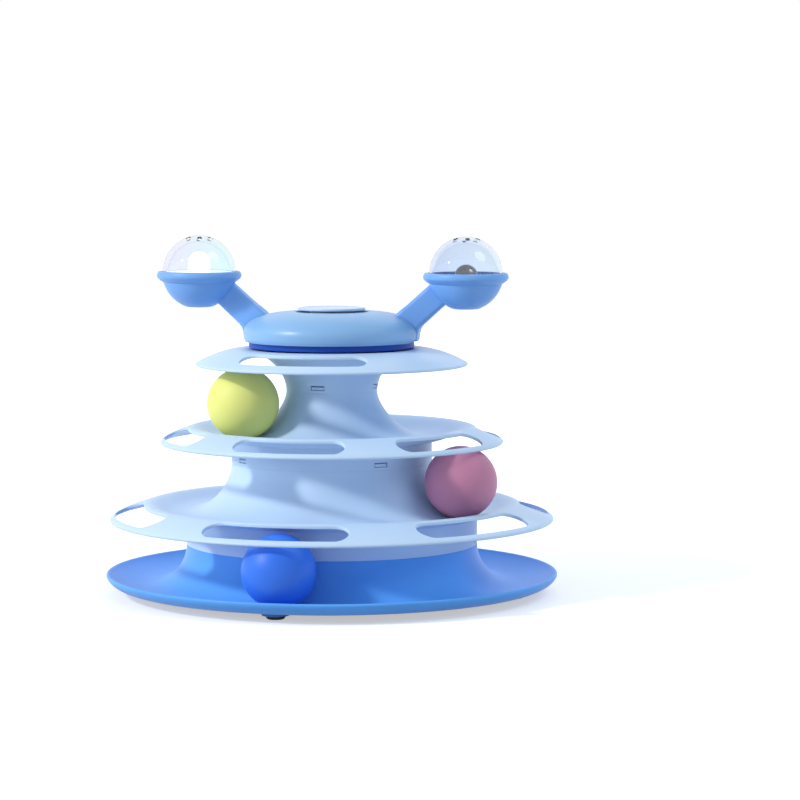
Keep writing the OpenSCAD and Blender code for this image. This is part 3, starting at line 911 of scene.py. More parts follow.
class SlottedShell:
    """A turned wall with two skins, a rounded rim and a ring of slots."""

    SIDE_SPANS = 10
    ROUND_SPANS = 5
    FILL_ROWS = 8
    CROWDING = 1.3
    LAND = 1.25

    def __init__(self, upper: list[Point], lower: list[Point], rim: list[Point], columns: int,
                 slots: Slots) -> None:
        """Keep the outlines.

        Args:
            upper: Upper face, from the joint out to the rim.
            lower: Lower face, in the same order.
            rim: Points between the two faces at the rim.
            columns: Columns round the axis, a multiple of the slots' number.
            slots: The slots.
        """
        self.near, self.far = slots.inner - slots.margin, min(slots.outer + slots.margin, lower[-1][0])
        self.upper, self.lower = (crossing(path, 0, self.near, self.far) for path in (upper, lower))
        self.rim, self.columns, self.slots = rim, columns, slots
        first = slots.turn - 180 / slots.count
        self.turns = [first + 360 * j / columns for j in range(columns)]

    def build(self, windows: Sequence[Window] = ()) -> Mesher:
        """Make the shell.

        Args:
            windows: Windows through both skins near the joint.

        Returns:
            The closed shell.
        """
        out = Mesher()
        skins = []
        for path in (self.upper, self.lower):
            for low, high in {(w.low, w.high) for w in windows}:
                path = [p for p in crossing(path, 1, low, high)
                        if p[0] >= self.near or not low + NEAR < p[1] < high - NEAR]
            skins.append(Skin(path, out.rings(path, self.turns)))
        walled(out, skins, windows, [self._columns(w) for w in windows], (self.near, self.far))
        out.strip([skins[0].rings[-1], *out.rings(self.rim, self.turns), skins[1].rings[-1]])
        out.band(skins[1].rings[0], skins[0].rings[0])
        for k in range(self.slots.count):
            self._slot(out, self.slots.turn + 360 * k / self.slots.count)
        return out

    def _columns(self, window: Window) -> tuple[int, int]:
        """First and last column of a window, snapped to the shell's own columns.

        Args:
            window: The window.

        Returns:
            The two columns.
        """
        step = 360 / self.columns
        first = round((window.first - self.turns[0]) / step) % self.columns
        return first, first + max(1, round((window.last - window.first) / step))

    def _slot(self, out: Mesher, turn: float) -> None:
        """Fill one sector of the brim, with its slot and the slot's rounded edges.

        Args:
            out: Where the faces go.
            turn: Turn of the slot's middle.
        """
        half, rounding = 180 / self.slots.count, self.slots.rounding
        corners = [(self.far, -half), (self.far, half), (self.near, half), (self.near, -half)]
        border = []
        for k, spans in enumerate((self.columns // self.slots.count, self.SIDE_SPANS) * 2):
            border += [between(corners[k], corners[(k + 1) % 4], j / spans) for j in range(spans)]
        edge = [(rounding - x, rounding - y) for x, y in arc(rounding, 0, math.pi / 2, self.ROUND_SPANS)]
        edge.append((rounding * self.LAND, 0.0))
        rims = []
        for path, sign in ((self.upper, -1), (self.lower, 1)):
            rows = [([self._beside_slot(r, t, gap) for r, t in border], sign * dip) for gap, dip in edge]
            start = rows[-1][0]
            for k in range(1, self.FILL_ROWS + 1):
                share = (k / self.FILL_ROWS) ** self.CROWDING
                rows.append(([between(a, b, share) for a, b in zip(start, border)], 0.0))
            rings = [[out.add(spun(r, read_off(path, 0, r) + lift, turn + t)) for r, t in row]
                     for row, lift in rows]
            out.strip(rings)
            rims.append(rings[0])
        out.band(*rims)

    def _beside_slot(self, radius: float, turn: float, gap: float) -> Point:
        """The place at a gap from the slot's edge that belongs to a border point.

        Args:
            radius: Radius of the border point.
            turn: Its turn from the slot's middle.
            gap: Distance from the slot's edge.

        Returns:
            Radius and turn of the place. Round an end, the far arc, the side and the near arc
            of the border each get a third of the half circle.
        """
        s, third = self.slots, 60
        if abs(turn) <= s.core:
            return (s.outer + gap if radius > s.middle else s.inner - gap), turn
        down = (self.far - radius) / (self.far - self.near)
        along = (abs(turn) - s.core) / (180 / s.count - s.core)
        around = 180 - third * along if down > 1 - NEAR else third * (along + down)
        end = spun(s.middle, 0, math.copysign(s.core, turn))
        p = end + spun(s.width / 2 + gap, 0, math.copysign(s.core + around, turn))
        return math.hypot(p.x, p.y), math.degrees(math.atan2(p.x, -p.y))


# The tower


@dataclass(frozen=True)
class Joint:
    """Where one level plugs into the next: radius, height of the seat and turn of the windows."""

    radius: float
    seat: float
    turn: float


@dataclass
class TowerSizes:
    """Sizes that the base and the tracks share."""

    wall: float = 1.8
    fit: float = 0.2
    seam: float = 0.12
    spigot: float = 8.0
    spigot_root: float = 3.0
    latches: int = 4
    window_w: float = 8.0
    window_h: float = 2.6
    window_rise: float = 2.9
    tab_in: float = 0.35
    bevel: float = 0.25
    slot_turn: float = -16.0
    base: Joint = Joint(80.6, 27.5, -11.0)
    lower: Joint = Joint(55.5, 72.5, 28.5)
    middle: Joint = Joint(25.2, 112.0, -18.0)

    def windows(self, joint: Joint) -> list[Window]:
        """The windows of a joint.

        Args:
            joint: The joint.

        Returns:
            One window for each latch.
        """
        half = math.degrees(math.asin(self.window_w / 2 / joint.radius))
        low = joint.seat + self.window_rise - self.window_h / 2
        turns = [joint.turn + 360 / self.latches * k for k in range(self.latches)]
        return [Window(low, low + self.window_h, t - half, t + half) for t in turns]

    def spigot_ring(self, shop: Workshop, joint: Joint, finish: Finish) -> Mesher:
        """The plug above a neck, with its latch tabs.

        Args:
            shop: The workshop.
            joint: The joint that it is for.
            finish: Its finish.

        Returns:
            The ring and its tabs.
        """
        top, edge = joint.seat, 2 * self.fit
        r, neck = joint.radius - self.wall - self.fit, joint.radius - self.wall / 2
        ring = shop.turned(softened([
            (neck, top - self.spigot_root, 0), (neck, top - self.fit, 0), (r, top + self.fit / 2, 0),
            (r, top + self.spigot, edge), (r - self.wall, top + self.spigot, edge),
            (r - self.wall, top - self.spigot_root, 0)]), finish, 144)
        low = top + self.window_rise - self.window_h / 2 + self.fit
        high = top + self.window_rise + self.window_h / 2 - 2 * self.fit
        half, bevel = self.window_w / 2 - 2 * self.fit, self.bevel
        face, back = joint.radius - self.tab_in, r - self.wall / 2
        outline = [(back, low), (face - bevel, low), (face, low + bevel), (face, high - 2 * bevel),
                   (r, high + self.fit), (back, high + self.fit)]
        tab = Mesher()
        rows = []
        for x in (-half, bevel - half, half - bevel, half):
            pull = bevel if abs(x) == half else 0.0
            rows.append([tab.add(Vector((x, -(p if p < r else p - pull), z))) for p, z in outline])
        tab.strip(rows)
        tab.faces += [tuple(rows[0]), tuple(reversed(rows[-1]))]
        ring.join(shop.repeated(tab, finish, self.latches, joint.turn))
        return ring


@dataclass
class BaseDish:
    """The blue dish that the tower stands on, with its feet."""

    shared: TowerSizes
    rim_r: float = 125.0
    rim_h: float = 11.4
    band: float = 1.4
    foot_r: float = 115.0
    track_r: float = 103.2
    floor: float = 3.3
    seam: float = 0.15
    feet: int = 4
    foot_ring: float = 104.0
    foot_turn: float = -16.5
    boss_r: float = 7.5
    boss_top: float = 4.2
    pad_r: float = 5.0
    pad_foot_r: float = 4.0
    pad_h: float = 2.0
    pad_edge: float = 0.6

    @property
    def trough(self) -> float:
        """Height of the lowest line of the trough."""
        return self.floor + self.shared.wall

    def _section(self) -> list[Point]:
        """The dish's closed outline.

        Returns:
            Its points.
        """
        wall, joint, trough, rim = self.shared.wall, self.shared.base, self.trough, self.rim_r
        neck = flared((joint.radius, joint.seat), (self.track_r, trough), rise=0.54, run=0.58, steps=32)
        bowl = bezier((self.track_r, trough), (self.track_r + 0.4 * (rim - self.track_r), trough),
                      (rim - 2 * wall, self.rim_h - 0.3 * (self.rim_h - trough)),
                      (rim - wall, self.rim_h))
        lip = (rim - wall / 2, self.rim_h - wall / 2)
        top = [*arc(wall / 2, math.radians(110), math.radians(10), 5, lip), (rim, lip[1])]
        foot = self.floor + wall / 2
        low, border = self.rim_h - self.band, rim - self.foot_r
        under = bezier((rim, low), (rim - 0.1 * border, low - 0.5 * (low - foot)),
                       (rim - 0.5 * border, foot), (self.foot_r, foot), 16)
        inner = beside(neck, wall)
        neck[0] = (neck[0][0] - self.seam, neck[0][1])
        neck.insert(1, (joint.radius, joint.seat - self.seam))
        return [*neck, *bowl[1:-1], *top, *under, *reversed(inner)]

    def build(self, shop: Workshop) -> None:
        """Make the dish and its feet.

        Args:
            shop: The workshop.
        """
        finish, rubber = Finishes.base_blue, Finishes.rubber
        dish = shop.turned(self._section(), finish, 288)
        dish.join(self.shared.spigot_ring(shop, self.shared.base, finish))
        dish.join(self._feet(shop, [(0, self.pad_h, 0), (self.boss_r, self.pad_h, 0.4),
                                    (self.boss_r, self.boss_top, 0), (0, self.boss_top, 0)], finish))
        shop.piece("base_dish_shell", dish, finish, Body.TOWER, ["base_dish"])
        pads = self._feet(shop, [(0, 0, 0), (self.pad_foot_r, 0, 0.3), (self.pad_r, self.pad_edge, 0.3),
                                 (self.pad_r, self.pad_h, 0.2), (0, self.pad_h, 0)], rubber)
        nodes = [f"foot_pad_{k + 1}" for k in range(self.feet)]
        shop.piece("foot_pads", pads, rubber, Body.TOWER, nodes)

    def _feet(self, shop: Workshop, corners: Sequence[Corner], finish: Finish) -> Mesher:
        """A small turned part at each foot.

        Args:
            shop: The workshop.
            corners: Corners of the part's outline.
            finish: Its finish.

        Returns:
            All the parts.
        """
        part = shop.turned(softened(corners), finish, 40)
        at_front = part.moved(Matrix.Translation((0, -self.foot_ring, 0)))
        return shop.repeated(at_front, finish, self.feet, self.foot_turn)


@dataclass
class Track:
    """A pale track: a collar, a neck, a trough and a slotted brim.

    Seat is the joint below and joint the one above. Rise and run shape the neck, and the brim
    starts at the lip.
    """

    name: str
    shared: TowerSizes
    seat: Joint
    joint: Joint
    trough_r: float
    trough: float
    lip_r: float
    lip: float
    rim_r: float
    drop: float
    rise: float
    run: float
    slots: int = 6
    slot_span: float = 41.0
    slot_from: float = 0.108
    slot_to: float = 0.838
    neck_seam: float = 0.1

    def _upper(self) -> list[Point]:
        """Upper face, from the joint down the neck and out to the rim.

        Returns:
            Its points.
        """
        trough, lip = (self.trough_r, self.trough), (self.lip_r, self.lip)
        width, reach = self.lip_r - self.trough_r, self.rim_r - self.lip_r
        neck = flared((self.joint.radius, self.joint.seat), trough, self.rise, self.run, 36)
        bowl = bezier(trough, (self.trough_r + 0.5 * width, self.trough),
                      (self.lip_r - 0.35 * width, self.lip), lip, 18)
        brim = bezier(lip, (self.lip_r + 0.35 * reach, self.lip - 0.22 * self.drop),
                      (self.rim_r - 0.12 * reach, self.lip - 0.69 * self.drop),
                      (self.rim_r, self.lip - self.drop))
        return [*neck, *bowl[1:], *brim[1:]]

    def build(self, shop: Workshop) -> None:
        """Make the track.

        Args:
            shop: The workshop.
        """
        s, finish = self.shared, Finishes.pale_blue
        upper = self._upper()
        lower = beside(upper, s.wall)
        brim = self.rim_r + s.wall / 2 - self.lip_r
        slots = Slots(self.slots, self.slot_span, self.lip_r + self.slot_from * brim,
                      (self.slot_to - self.slot_from) * brim, s.slot_turn)
        upper[0] = (upper[0][0] - self.neck_seam, upper[0][1])
        upper.insert(1, (self.joint.radius, self.joint.seat - self.neck_seam))
        made = SlottedShell(upper, lower, rim_round(upper, s.wall), 288, slots).build()
        outer, inner = self.seat.radius, self.seat.radius - s.wall
        low, top = self.seat.seat, self.trough - s.wall / 2
        made.join(windowed_ring([(outer - s.seam, low), (outer, low + s.seam), (outer, top)],
                                [(inner, low), (inner, low + s.seam), (inner, top)],
                                s.windows(self.seat)))
        made.join(s.spigot_ring(shop, self.joint, finish))
        shop.piece(f"{self.name}_shell", made, finish, Body.TOWER, [self.name])


@dataclass
class TopTrack:
    """The smallest track: a trumpet whose brim circles the head."""

    shared: TowerSizes
    crest: float = 135.4
    crest_r: float = 49.0
    rim_r: float = 74.9
    drop: float = 7.8
    slots: int = 2
    slot_span: float = 66.0
    slot_from: float = 0.298
    slot_width: float = 0.471
    floor: float = 127.12
    floor_in: float = 0.6
    post_r: float = 4.9
    shoulder_r: float = 8.8
    shoulder: float = 132.82
    post_top: float = 145.97

    def _post(self, trumpet: Sequence[Point]) -> list[Corner]:
        """Corners of the floor inside the trumpet, with the post that the head turns on.

        Args:
            trumpet: The trumpet's outer face.

        Returns:
            The corners.
        """
        low, top = self.floor, self.floor + self.shared.wall
        low_r, top_r = (read_off(trumpet, 1, z) - self.floor_in for z in (low, top))
        return [(0, low, 0), (low_r, low, 0), (top_r, top, 0), (self.shoulder_r, top, 0.5),
                (self.shoulder_r, self.shoulder, 0.3), (self.post_r, self.shoulder, 0),
                (self.post_r, self.post_top, 0.3), (0, self.post_top, 0)]

    def build(self, shop: Workshop) -> None:
        """Make the track with its post.

        Args:
            shop: The workshop.
        """
        s, finish, crest = self.shared, Finishes.pale_blue, self.crest
        r, low = s.middle.radius, s.middle.seat
        crest_in, under = self.crest_r - s.wall, crest - s.wall
        trumpet = bezier((r, low), (r, low + 0.43 * (under - low)),
                         (crest_in - 0.58 * (crest_in - r), under - s.wall / 2), (crest_in, under), 30)
        reach = self.rim_r - self.crest_r
        brim = bezier((self.crest_r, crest), (self.crest_r + 0.35 * reach, crest),
                      (self.rim_r - 0.30 * reach, crest - 0.45 * self.drop),
                      (self.rim_r, crest - self.drop))
        inside = beside(trumpet, -s.wall)
        inside[-1] = (inside[-1][0], crest)
        lower = [*trumpet, *beside(brim, s.wall)]
        lower[0] = (lower[0][0] - s.seam, lower[0][1])
        lower.insert(1, (r, low + s.seam))
        width = self.rim_r + s.wall / 2 - self.crest_r
        slots = Slots(self.slots, self.slot_span, self.crest_r + self.slot_from * width,
                      self.slot_width * width, s.slot_turn)
        shell = SlottedShell([*inside, *brim], lower, rim_round(brim, s.wall), 360, slots)
        made = shell.build(s.windows(s.middle))
        made.join(shop.turned(softened(self._post(trumpet)), finish, 72))
        shop.piece("top_track_shell", made, finish, Body.TOWER, ["top_track"])


@dataclass
class PlayBall:
    """A hollow ball in its trough, welded from two halves."""

    name: str
    body: Body
    finish: Finish
    track_r: float
    trough: float
    turn: float
    radius: float = 19.75
    gap: float = 0.3
    line_depth: float = 0.10
    line_half: float = 0.45
    tilt: float = 74.0
    spans: int = 96

    def build(self, shop: Workshop) -> None:
        """Make the ball, with its fine weld line tilted back.

        Args:
            shop: The workshop.
        """
        outline: list[Point] = []
        for k in range(self.spans + 1):
            a = math.pi * (k / self.spans - 0.5)
            dent = max(0.0, 1 - (abs(a) * self.radius / self.line_half) ** 2)
            r = self.radius - self.line_depth * dent
            outline.append((r * math.cos(a), r * math.sin(a)))
        place = Matrix.Translation(spun(self.track_r, self.trough + self.gap + self.radius, self.turn))
        tilt = Matrix.Rotation(math.radians(self.tilt), 4, "X")
        ball = shop.ball(outline, self.finish, self.spans).moved(place @ tilt)
        shop.piece(f"{self.name}_shell", ball, self.finish, self.body, [self.name])


# The head


@dataclass
class Head:
    """The spinning head: frame, cover and cap, with an arm to each pod."""

    turn: float = 10.0
    low: float = 139.3
    height: float = 16.4
    radius: float = 49.0
    edge_in: float = 1.2
    wall: float = 1.8
    hole_r: float = 20.0
    lip_depth: float = 3.4
    arm_root: float = 7.6
    arm_tip: float = 4.5
    arm_edge: float = 2.4
    arm_slope: float = 42.2
    arm_width: float = 14.0
    notch_r: float = 36.5
    notch_gap: float = 0.35
    reach: float = 74.7
    pod_z: float = 177.2
    cup_r: float = 20.8
    cup_top: float = -5.9
    cup_shelf: float = -7.7
    bore_r: float = 6.45
    hub_r: float = 10.05
    hub_low: float = 133.0
    hub_top: float = 149.0
    washer_r: float = 7.3
    washer_z: float = 145.4
    cap_r: float = 18.6
    cap_h: float = 1.4
    cap_rise: float = 0.8
    cap_rim: float = 2.2
    cap_dip: float = 0.25
    cap_fit: float = 0.25
    stem_r: float = 12.0
    stem_low: float = 147.4

    @property
    def spin(self) -> Matrix:
        """The head's own turn at rest."""
        return Matrix.Rotation(math.radians(-self.turn), 4, "Z")

    def pod_place(self, side: Side) -> Matrix:
        """Place of a pod's middle, turned with the head."""
        return self.spin @ Matrix.Translation((side.value * self.reach, 0, self.pod_z))

    def _cover(self) -> Mesher:
        """The cover, with a notch for each arm.

        Returns:
            The cover, before the head's turn.
        """
        r, low, hole, top = self.radius, self.low, self.hole_r, self.low + self.height
        dome = flared((r, low + self.height / 4), (hole, top), rise=0.66, run=0.58, steps=30)
        outer = crossing([(r - self.edge_in, low), (r - 0.72 * self.edge_in, low + 0.5),
                          (r - self.edge_in / 4, low + self.height / 9), *dome], 0, self.notch_r)
        inner = [(min(p[0], q[0] - 0.01), p[1]) for p, q in zip(beside(outer, -self.wall), outer)]
        lip = [(hole + 0.25, top - 0.1), (hole, top - 0.45), (hole, top - self.lip_depth),
               (hole + self.wall, top - self.lip_depth)]
        outer[-1], inner[-1] = (hole + 0.8, top), (hole + self.wall, inner[-1][1])
        half = self.arm_root + self.notch_gap
        narrow, wide = 12, 60

        def turns(radius: float) -> list[float]:
            """Columns of a ring, gathered along the notches' straight sides.

            Args:
                radius: Radius of the ring.

            Returns:
                The turn of each column.
            """
            edge = math.degrees(math.asin(half / max(radius, self.notch_r)))
            row = []
            for base in (90, 270):
                row += [base - edge + 2 * edge * k / narrow for k in range(narrow)]
                row += [base + edge + (180 - 2 * edge) * k / wide for k in range(wide)]
            return row

        def in_notch(j: int) -> bool:
            """Whether a column of faces lies in a notch."""
            return j % (narrow + wide) < narrow

        def outside(j: int) -> bool:
            """Whether a column of faces lies outside the notches."""
            return not in_notch(j)

        out = Mesher()
        cut = next(i for i, p in enumerate(outer) if p[0] <= self.notch_r + NEAR)
        o_rings, i_rings = ([out.rings([p], turns(q[0]))[0] for p, q in zip(path, outer)]
                            for path in (outer, inner))
        for i in range(len(outer) - 1):
            for rings in (o_rings, i_rings):
                out.band(rings[i], rings[i + 1], keep=outside if i < cut else None)
        for j in (0, narrow, narrow + wide, 2 * narrow + wide):
            out.faces += [(o_rings[i][j], o_rings[i + 1][j], i_rings[i + 1][j], i_rings[i][j])
                          for i in range(cut)]
        out.band(o_rings[cut], i_rings[cut], keep=in_notch)
        out.band(o_rings[0], i_rings[0], keep=outside)
        out.strip([o_rings[-1], *(out.rings([p], turns(p[0]))[0] for p in lip), i_rings[-1]])
        return out

    def _arm(self) -> Mesher:
        """One arm on the +X side, lofted from under the cover into its cup.

        Returns:
            The arm, before the head's turn.
        """
        slope = math.radians(self.arm_slope)
        along = Vector((math.cos(slope), math.sin(slope)))
        up = Vector((-along.y, along.x))
        start = Vector((51.2, 148.6))
        rows = [((41.0, 139.7), (33.0, 151.4)), ((48.3, 139.7), (36.2, 154.2)),
                ((48.75, 142.0), (37.6, 155.6)), ((49.0, 144.4), (39.0, 156.8)),
                ((49.5, 146.5), (40.4, 158.0))]
        bend, step = len(rows) - 1, 0.04
        for far in (0.0, 1.6, 3.6, 6.0, 9.0, 12.0, 15.0, 18.0, 20.5):
            rows.append((start + along * far, start + along * far + up * self.arm_width))
        out = Mesher()
        rings = []
        for k, (p, q) in enumerate(rows):
            past = max(k - bend, 0) / (len(rows) - 1 - bend)
            share = step * min(k, bend) + (1 - step * bend) * past
            half = self.arm_root + (self.arm_tip - self.arm_root) * share ** 0.8
            rings.append(self._arm_ring(out, Vector(p), Vector(q), half))
        inside = self.cup_r - self.wall / 2
        for i in rings[-1]:
            p = out.points[i]
            flat = Vector((p.x - self.reach, p.z - self.pod_z))
            ahead = flat.dot(along)
            if math.hypot(flat.length, p.y) < inside:
                off = p.y ** 2 + flat.length ** 2 - ahead ** 2
                shift = ahead + math.sqrt(max(inside ** 2 - off, 0))
                out.points[i] = p - Vector((along.x, 0, along.y)) * shift
        out.strip(rings)
        out.faces += [tuple(rings[0]), tuple(reversed(rings[-1]))]
        return out

    def _arm_ring(self, out: Mesher, low: Vector, high: Vector, half: float) -> list[int]:
        """A rounded rectangle across an arm.

        Args:
            out: Where the points go.
            low: Lower edge in the arm's own plane.
            high: Upper edge.
            half: Half the arm's thickness.

        Returns:
            The ring's point numbers.
        """
        tall, way, edge = (high - low).length / 2, (high - low).normalized(), self.arm_edge
        quarter = math.pi / 2
        ring = []
        for k, (side, end) in enumerate(((1, 1), (-1, 1), (-1, -1), (1, -1))):
            middle = (side * (half - edge), tall + end * (tall - edge))
            for y, up in arc(edge, k * quarter, (k + 1) * quarter, 6, middle):
                p = low + way * up
                ring.append(out.add(Vector((p.x, y, p.y))))
        return ring

    def _cup(self, shop: Workshop) -> Mesher:
        """One cup about the pod's middle.

        Args:
            shop: The workshop.

        Returns:
            The cup.
        """
        r, inside, low, shelf = self.cup_r, self.cup_r - self.wall, self.cup_top, self.cup_shelf
        flat = -0.947 * r
        outer = arc(r, math.asin(flat / r), math.asin(low / r), 28)
        shelf_r = outer[-1][0] - 1.6
        inner = arc(inside, math.asin((flat + self.wall) / inside), math.asin(shelf / inside), 20)
        outline = [(0, flat), (outer[0][0] - 0.6, flat), (outer[0][0] - 0.15, flat + 0.05), *outer[1:],
                   (shelf_r, low), (shelf_r, shelf), *reversed(inner), (0, flat + self.wall)]
        return shop.turned(outline, Finishes.head_blue)

    def _turntable(self) -> list[Corner]:
        """Corners of the plate under the cover, with its two skirts; the outer skirt hangs in the gap under
        the cover's edge as a band of painted shade.

        Returns:
            The corners.
        """
        low, top, hub = self.low, self.low + self.wall, 9.5
        (in_a, out_a, foot_a), (in_b, out_b, foot_b) = (27.6, 29.4, 135.79), (44.2, 45.8, 135.95)
        return [(hub, low, 0), (in_a, low, 0), (in_a, foot_a, 0.3), (out_a, foot_a, 0.4),
                (out_a, low, 0.3), (in_b, low, 0.3), (in_b, foot_b, 0.3), (out_b, foot_b, 0.4),
                (out_b, top, 0.3), (hub, top, 0)]

    def _cap(self, shop: Workshop) -> Mesher:
        """The disc on top, with the stem that plugs over the hub.

        Args:
            shop: The workshop.

        Returns:
            The cap.
        """
        base = self.low + self.height + self.cap_rise
        top, rim = base + self.cap_h, self.cap_r - self.cap_rim
        dip = top - self.cap_dip
        disc = [(0, base, 0), (self.cap_r, base, 0.3), (self.cap_r, top, 0.5), (rim, top, 0.2),
                (rim - 0.3, dip, 0.15), (0, dip, 0)]
        seat, seat_r, inner = self.hub_top + 0.2, 8.3, self.hub_r + self.cap_fit
        stem = [(seat_r, seat, 0), (seat_r, base, 0), (self.stem_r, base, 0),
                (self.stem_r, self.stem_low, 0.3), (inner, self.stem_low, 0.3), (inner, seat, 0)]
        cap = shop.turned(softened(disc), Finishes.cap_lavender, 120)
        cap.join(shop.turned(softened(stem), Finishes.cap_lavender, 72))
        return cap

    def build(self, shop: Workshop) -> None:
        """Make the frame, the cover and the cap.

        Args:
            shop: The workshop.
        """
        blue, deep = Finishes.head_blue, Finishes.hub_painted_shade_navy
        hub = [(self.bore_r, self.hub_low + 0.05, 0), (self.hub_r, self.hub_low, 0.3),
               (self.hub_r, self.hub_top, 0.4), (self.washer_r, self.hub_top, 0.2),
               (self.washer_r, self.washer_z, 0), (self.bore_r, self.washer_z, 0)]
        made = shop.turned(softened(hub), blue, 72)
        # The plate and its skirts carry painted shade: their navy stands in for the shaded gap under the
        # cover.
        table = shop.turned(softened(self._turntable()), deep, 144).moved(self.spin)
        shop.piece("head_turntable", table, deep, Body.HEAD, [])
        arm, cup = self._arm(), self._cup(shop)
        made.join(arm)
        made.join(arm, Matrix.Rotation(math.pi, 4, "Z"))
        made = made.moved(self.spin)
        for side in Side:
            made.join(cup, self.pod_place(side))
        shop.piece("head_frame_body", made, blue, Body.HEAD, ["head_frame"])
        shop.piece("head_cover_shell", self._cover().moved(self.spin), Finishes.cover_blue, Body.HEAD,
                   ["head_cover"])
        shop.piece("head_cap_disc", self._cap(shop), Finishes.cap_lavender, Body.HEAD, ["head_cap"])


@dataclass
class Pod:
    """What a cup carries: a bezel and a clear dome, with a lamp or a steel ball.

    Heights are from the pod's middle.
    """

    head: Head
    side: Side
    dome_r: float = 20.2
    dome_wall: float = 1.3
    dome_gap: float = 0.2
    vents: int = 6
    vent_r: float = 1.1
    vent_ring: float = 6.87
    vent_turn: float = 15.0
    bezel_r: float = 23.5
    bezel_top: float = 0.2
    insert_in: float = 1.8
    insert_top: float = -6.7
    bore_r: float = 17.2
    seat: float = -2.0
    drum_r: float = 15.5
    drum_wall: float = 1.2
    drum_top: float = 0.1
    flange_r: float = 18.6
    wire_r: float = 2.8
    ridge_r: float = 10.4
    ridge_low: float = -2.4
    ridge_top: float = -0.9
    diffuser_r: float = 6.0
    diffuser_h: float = 11.0
    diffuser_wall: float = 1.0
    ball_r: float = 6.35
    ball_gap: float = 0.3
    ball_out: float = 4.5
    tray: float = -8.0

    def _piece(self, shop: Workshop, name: str, made: Mesher, finish: Finish, node: str,
               sharp: float = 32.0) -> None:
        """Move a part from the pod's middle to its place on the head and finish it.

        Args:
            shop: The workshop.
            name: Name of the object.
            made: The part.
            finish: Its finish.
            node: The CAD node that it stands for.
            sharp: Bend in degrees past which an edge is crisp.
        """
        shop.piece(name, made.moved(self.head.pod_place(self.side)), finish, Body.HEAD, [node], sharp)

    def _bezel(self, shop: Workshop) -> Mesher:
        """The ring between cup and dome.

        Args:
            shop: The workshop.

        Returns:
            The ring.
        """
        r, top, low = self.bezel_r, self.bezel_top, self.head.cup_top
        foot_r, height = math.sqrt(self.head.cup_r ** 2 - low ** 2), top - low
        belly, hole = top - 0.44 * height, self.dome_r + self.dome_gap
        top_r = hole + 0.45 * (r - self.dome_r)
        upper = flared((r, belly), (top_r, top), rise=0.6, run=0.6, steps=12)
        under = bezier((r, belly), (r, belly + 0.35 * (low - belly)),
                       (foot_r + 0.35 * (r - foot_r), low + 0.12 * height), (foot_r, low), 14)
        insert = foot_r - self.insert_in
        outline = [(hole, self.seat), (hole, top - 0.15), (hole + 0.15, top), *reversed(upper),
                   *under[1:], (insert, low), (insert, self.insert_top),
                   (self.bore_r, self.insert_top), (self.bore_r, self.seat)]
        return shop.turned(outline, Finishes.head_blue, 120)

    def _dome(self) -> Mesher:
        """The clear dome, with its ring of vent holes.

        Returns:
            The dome.
        """
        faces = [[(0.0, r), *arc(r, math.pi / 2, 0, 40)[1:], (r, self.seat / 2), (r, self.seat)]
                 for r in (self.dome_r, self.dome_r - self.dome_wall)]
        span = 2 * math.degrees(math.asin(self.vent_r / self.vent_ring)) + NEAR
        slots = Slots(self.vents, span, self.vent_ring - self.vent_r, 2 * self.vent_r, self.vent_turn,
                      rounding=0.25, margin=0.9)
        foot = [(self.dome_r - self.dome_wall / 2, self.seat)]
        return SlottedShell(*faces, foot, 144, slots).build()

    def _lamp(self, shop: Workshop) -> None:
        """The drum, whose white carries a faint painted glow of the lamp's light, and the glowing diffuser.

        Args:
            shop: The workshop.
        """
        white, milk, foot = Finishes.lamp_white, Finishes.diffuser, self.insert_top
        top, low, inside = self.drum_top, self.drum_top - self.drum_wall, self.drum_r - self.drum_wall
        made = shop.turned(softened([
            (inside, foot, 0), (self.drum_r, foot, 0), (self.drum_r, low, 0.2), (self.flange_r, low, 0.3),
            (self.flange_r, top, 0.5), (self.wire_r, top, 0), (self.wire_r, low, 0), (inside, low, 0)]),
            white)
        ridge_in = self.ridge_r - self.drum_wall
        made.join(shop.turned([(ridge_in, self.ridge_low), (self.ridge_r, self.ridge_low),
                               (self.ridge_r, self.ridge_top), (ridge_in, self.ridge_top)], white, 72))
        self._piece(shop, "lamp_drum_shell", made, white, "lamp_drum")
        r, inner = self.diffuser_r, self.diffuser_r - self.diffuser_wall
        middle = (0.0, top + self.diffuser_h - r)
        outline = [(r, top), *arc(r, 0, math.pi / 2, 24, middle),
                   *reversed(arc(inner, 0, math.pi / 2, 16, middle)), (inner, top)]
        self._piece(shop, "lamp_diffuser_cap", shop.turned(outline, milk, 72), milk, "lamp_diffuser")
        # The lamp floor wears the drum's white, painted glow included.
        for node, finish in (("lamp_floor", white), ("lamp_cells", Finishes.cell),
                             ("lamp_board", Finishes.board), ("lamp_led", Finishes.led)):
            shop.dress(node, finish)

    def _rattle(self, shop: Workshop) -> None:
        """The steel ball on its tray.

        Args:
            shop: The workshop.
        """
        shop.dress("rattle_tray", Finishes.head_blue)
        r, finish = self.ball_r, Finishes.steel_ball_painted_dark
        ball = shop.ball(arc(r, -math.pi / 2, math.pi / 2, 64), finish, 72)
        middle = self.head.pod_place(self.side) @ Vector((0, 0, self.tray + self.ball_gap + r))
        made = ball.moved(Matrix.Translation(middle + Vector((0, -self.ball_out, 0))))
        shop.piece("rattle_ball_steel", made, finish, Body.RATTLE, ["rattle_ball"])

    def build(self, shop: Workshop) -> None:
        """Make the pod.

        Args:
            shop: The workshop.
        """
        name, lamp = self.side.name.lower(), self.side is Side.LAMP
        self._piece(shop, f"{name}_bezel_ring", self._bezel(shop), Finishes.head_blue, f"{name}_bezel")
        self._piece(shop, f"{name}_dome_clear", self._dome(),
                    Finishes.dome_left if lamp else Finishes.dome_right, f"{name}_dome", sharp=60.0)
        if lamp:
            self._lamp(shop)
        else:
            self._rattle(shop)


# The studio


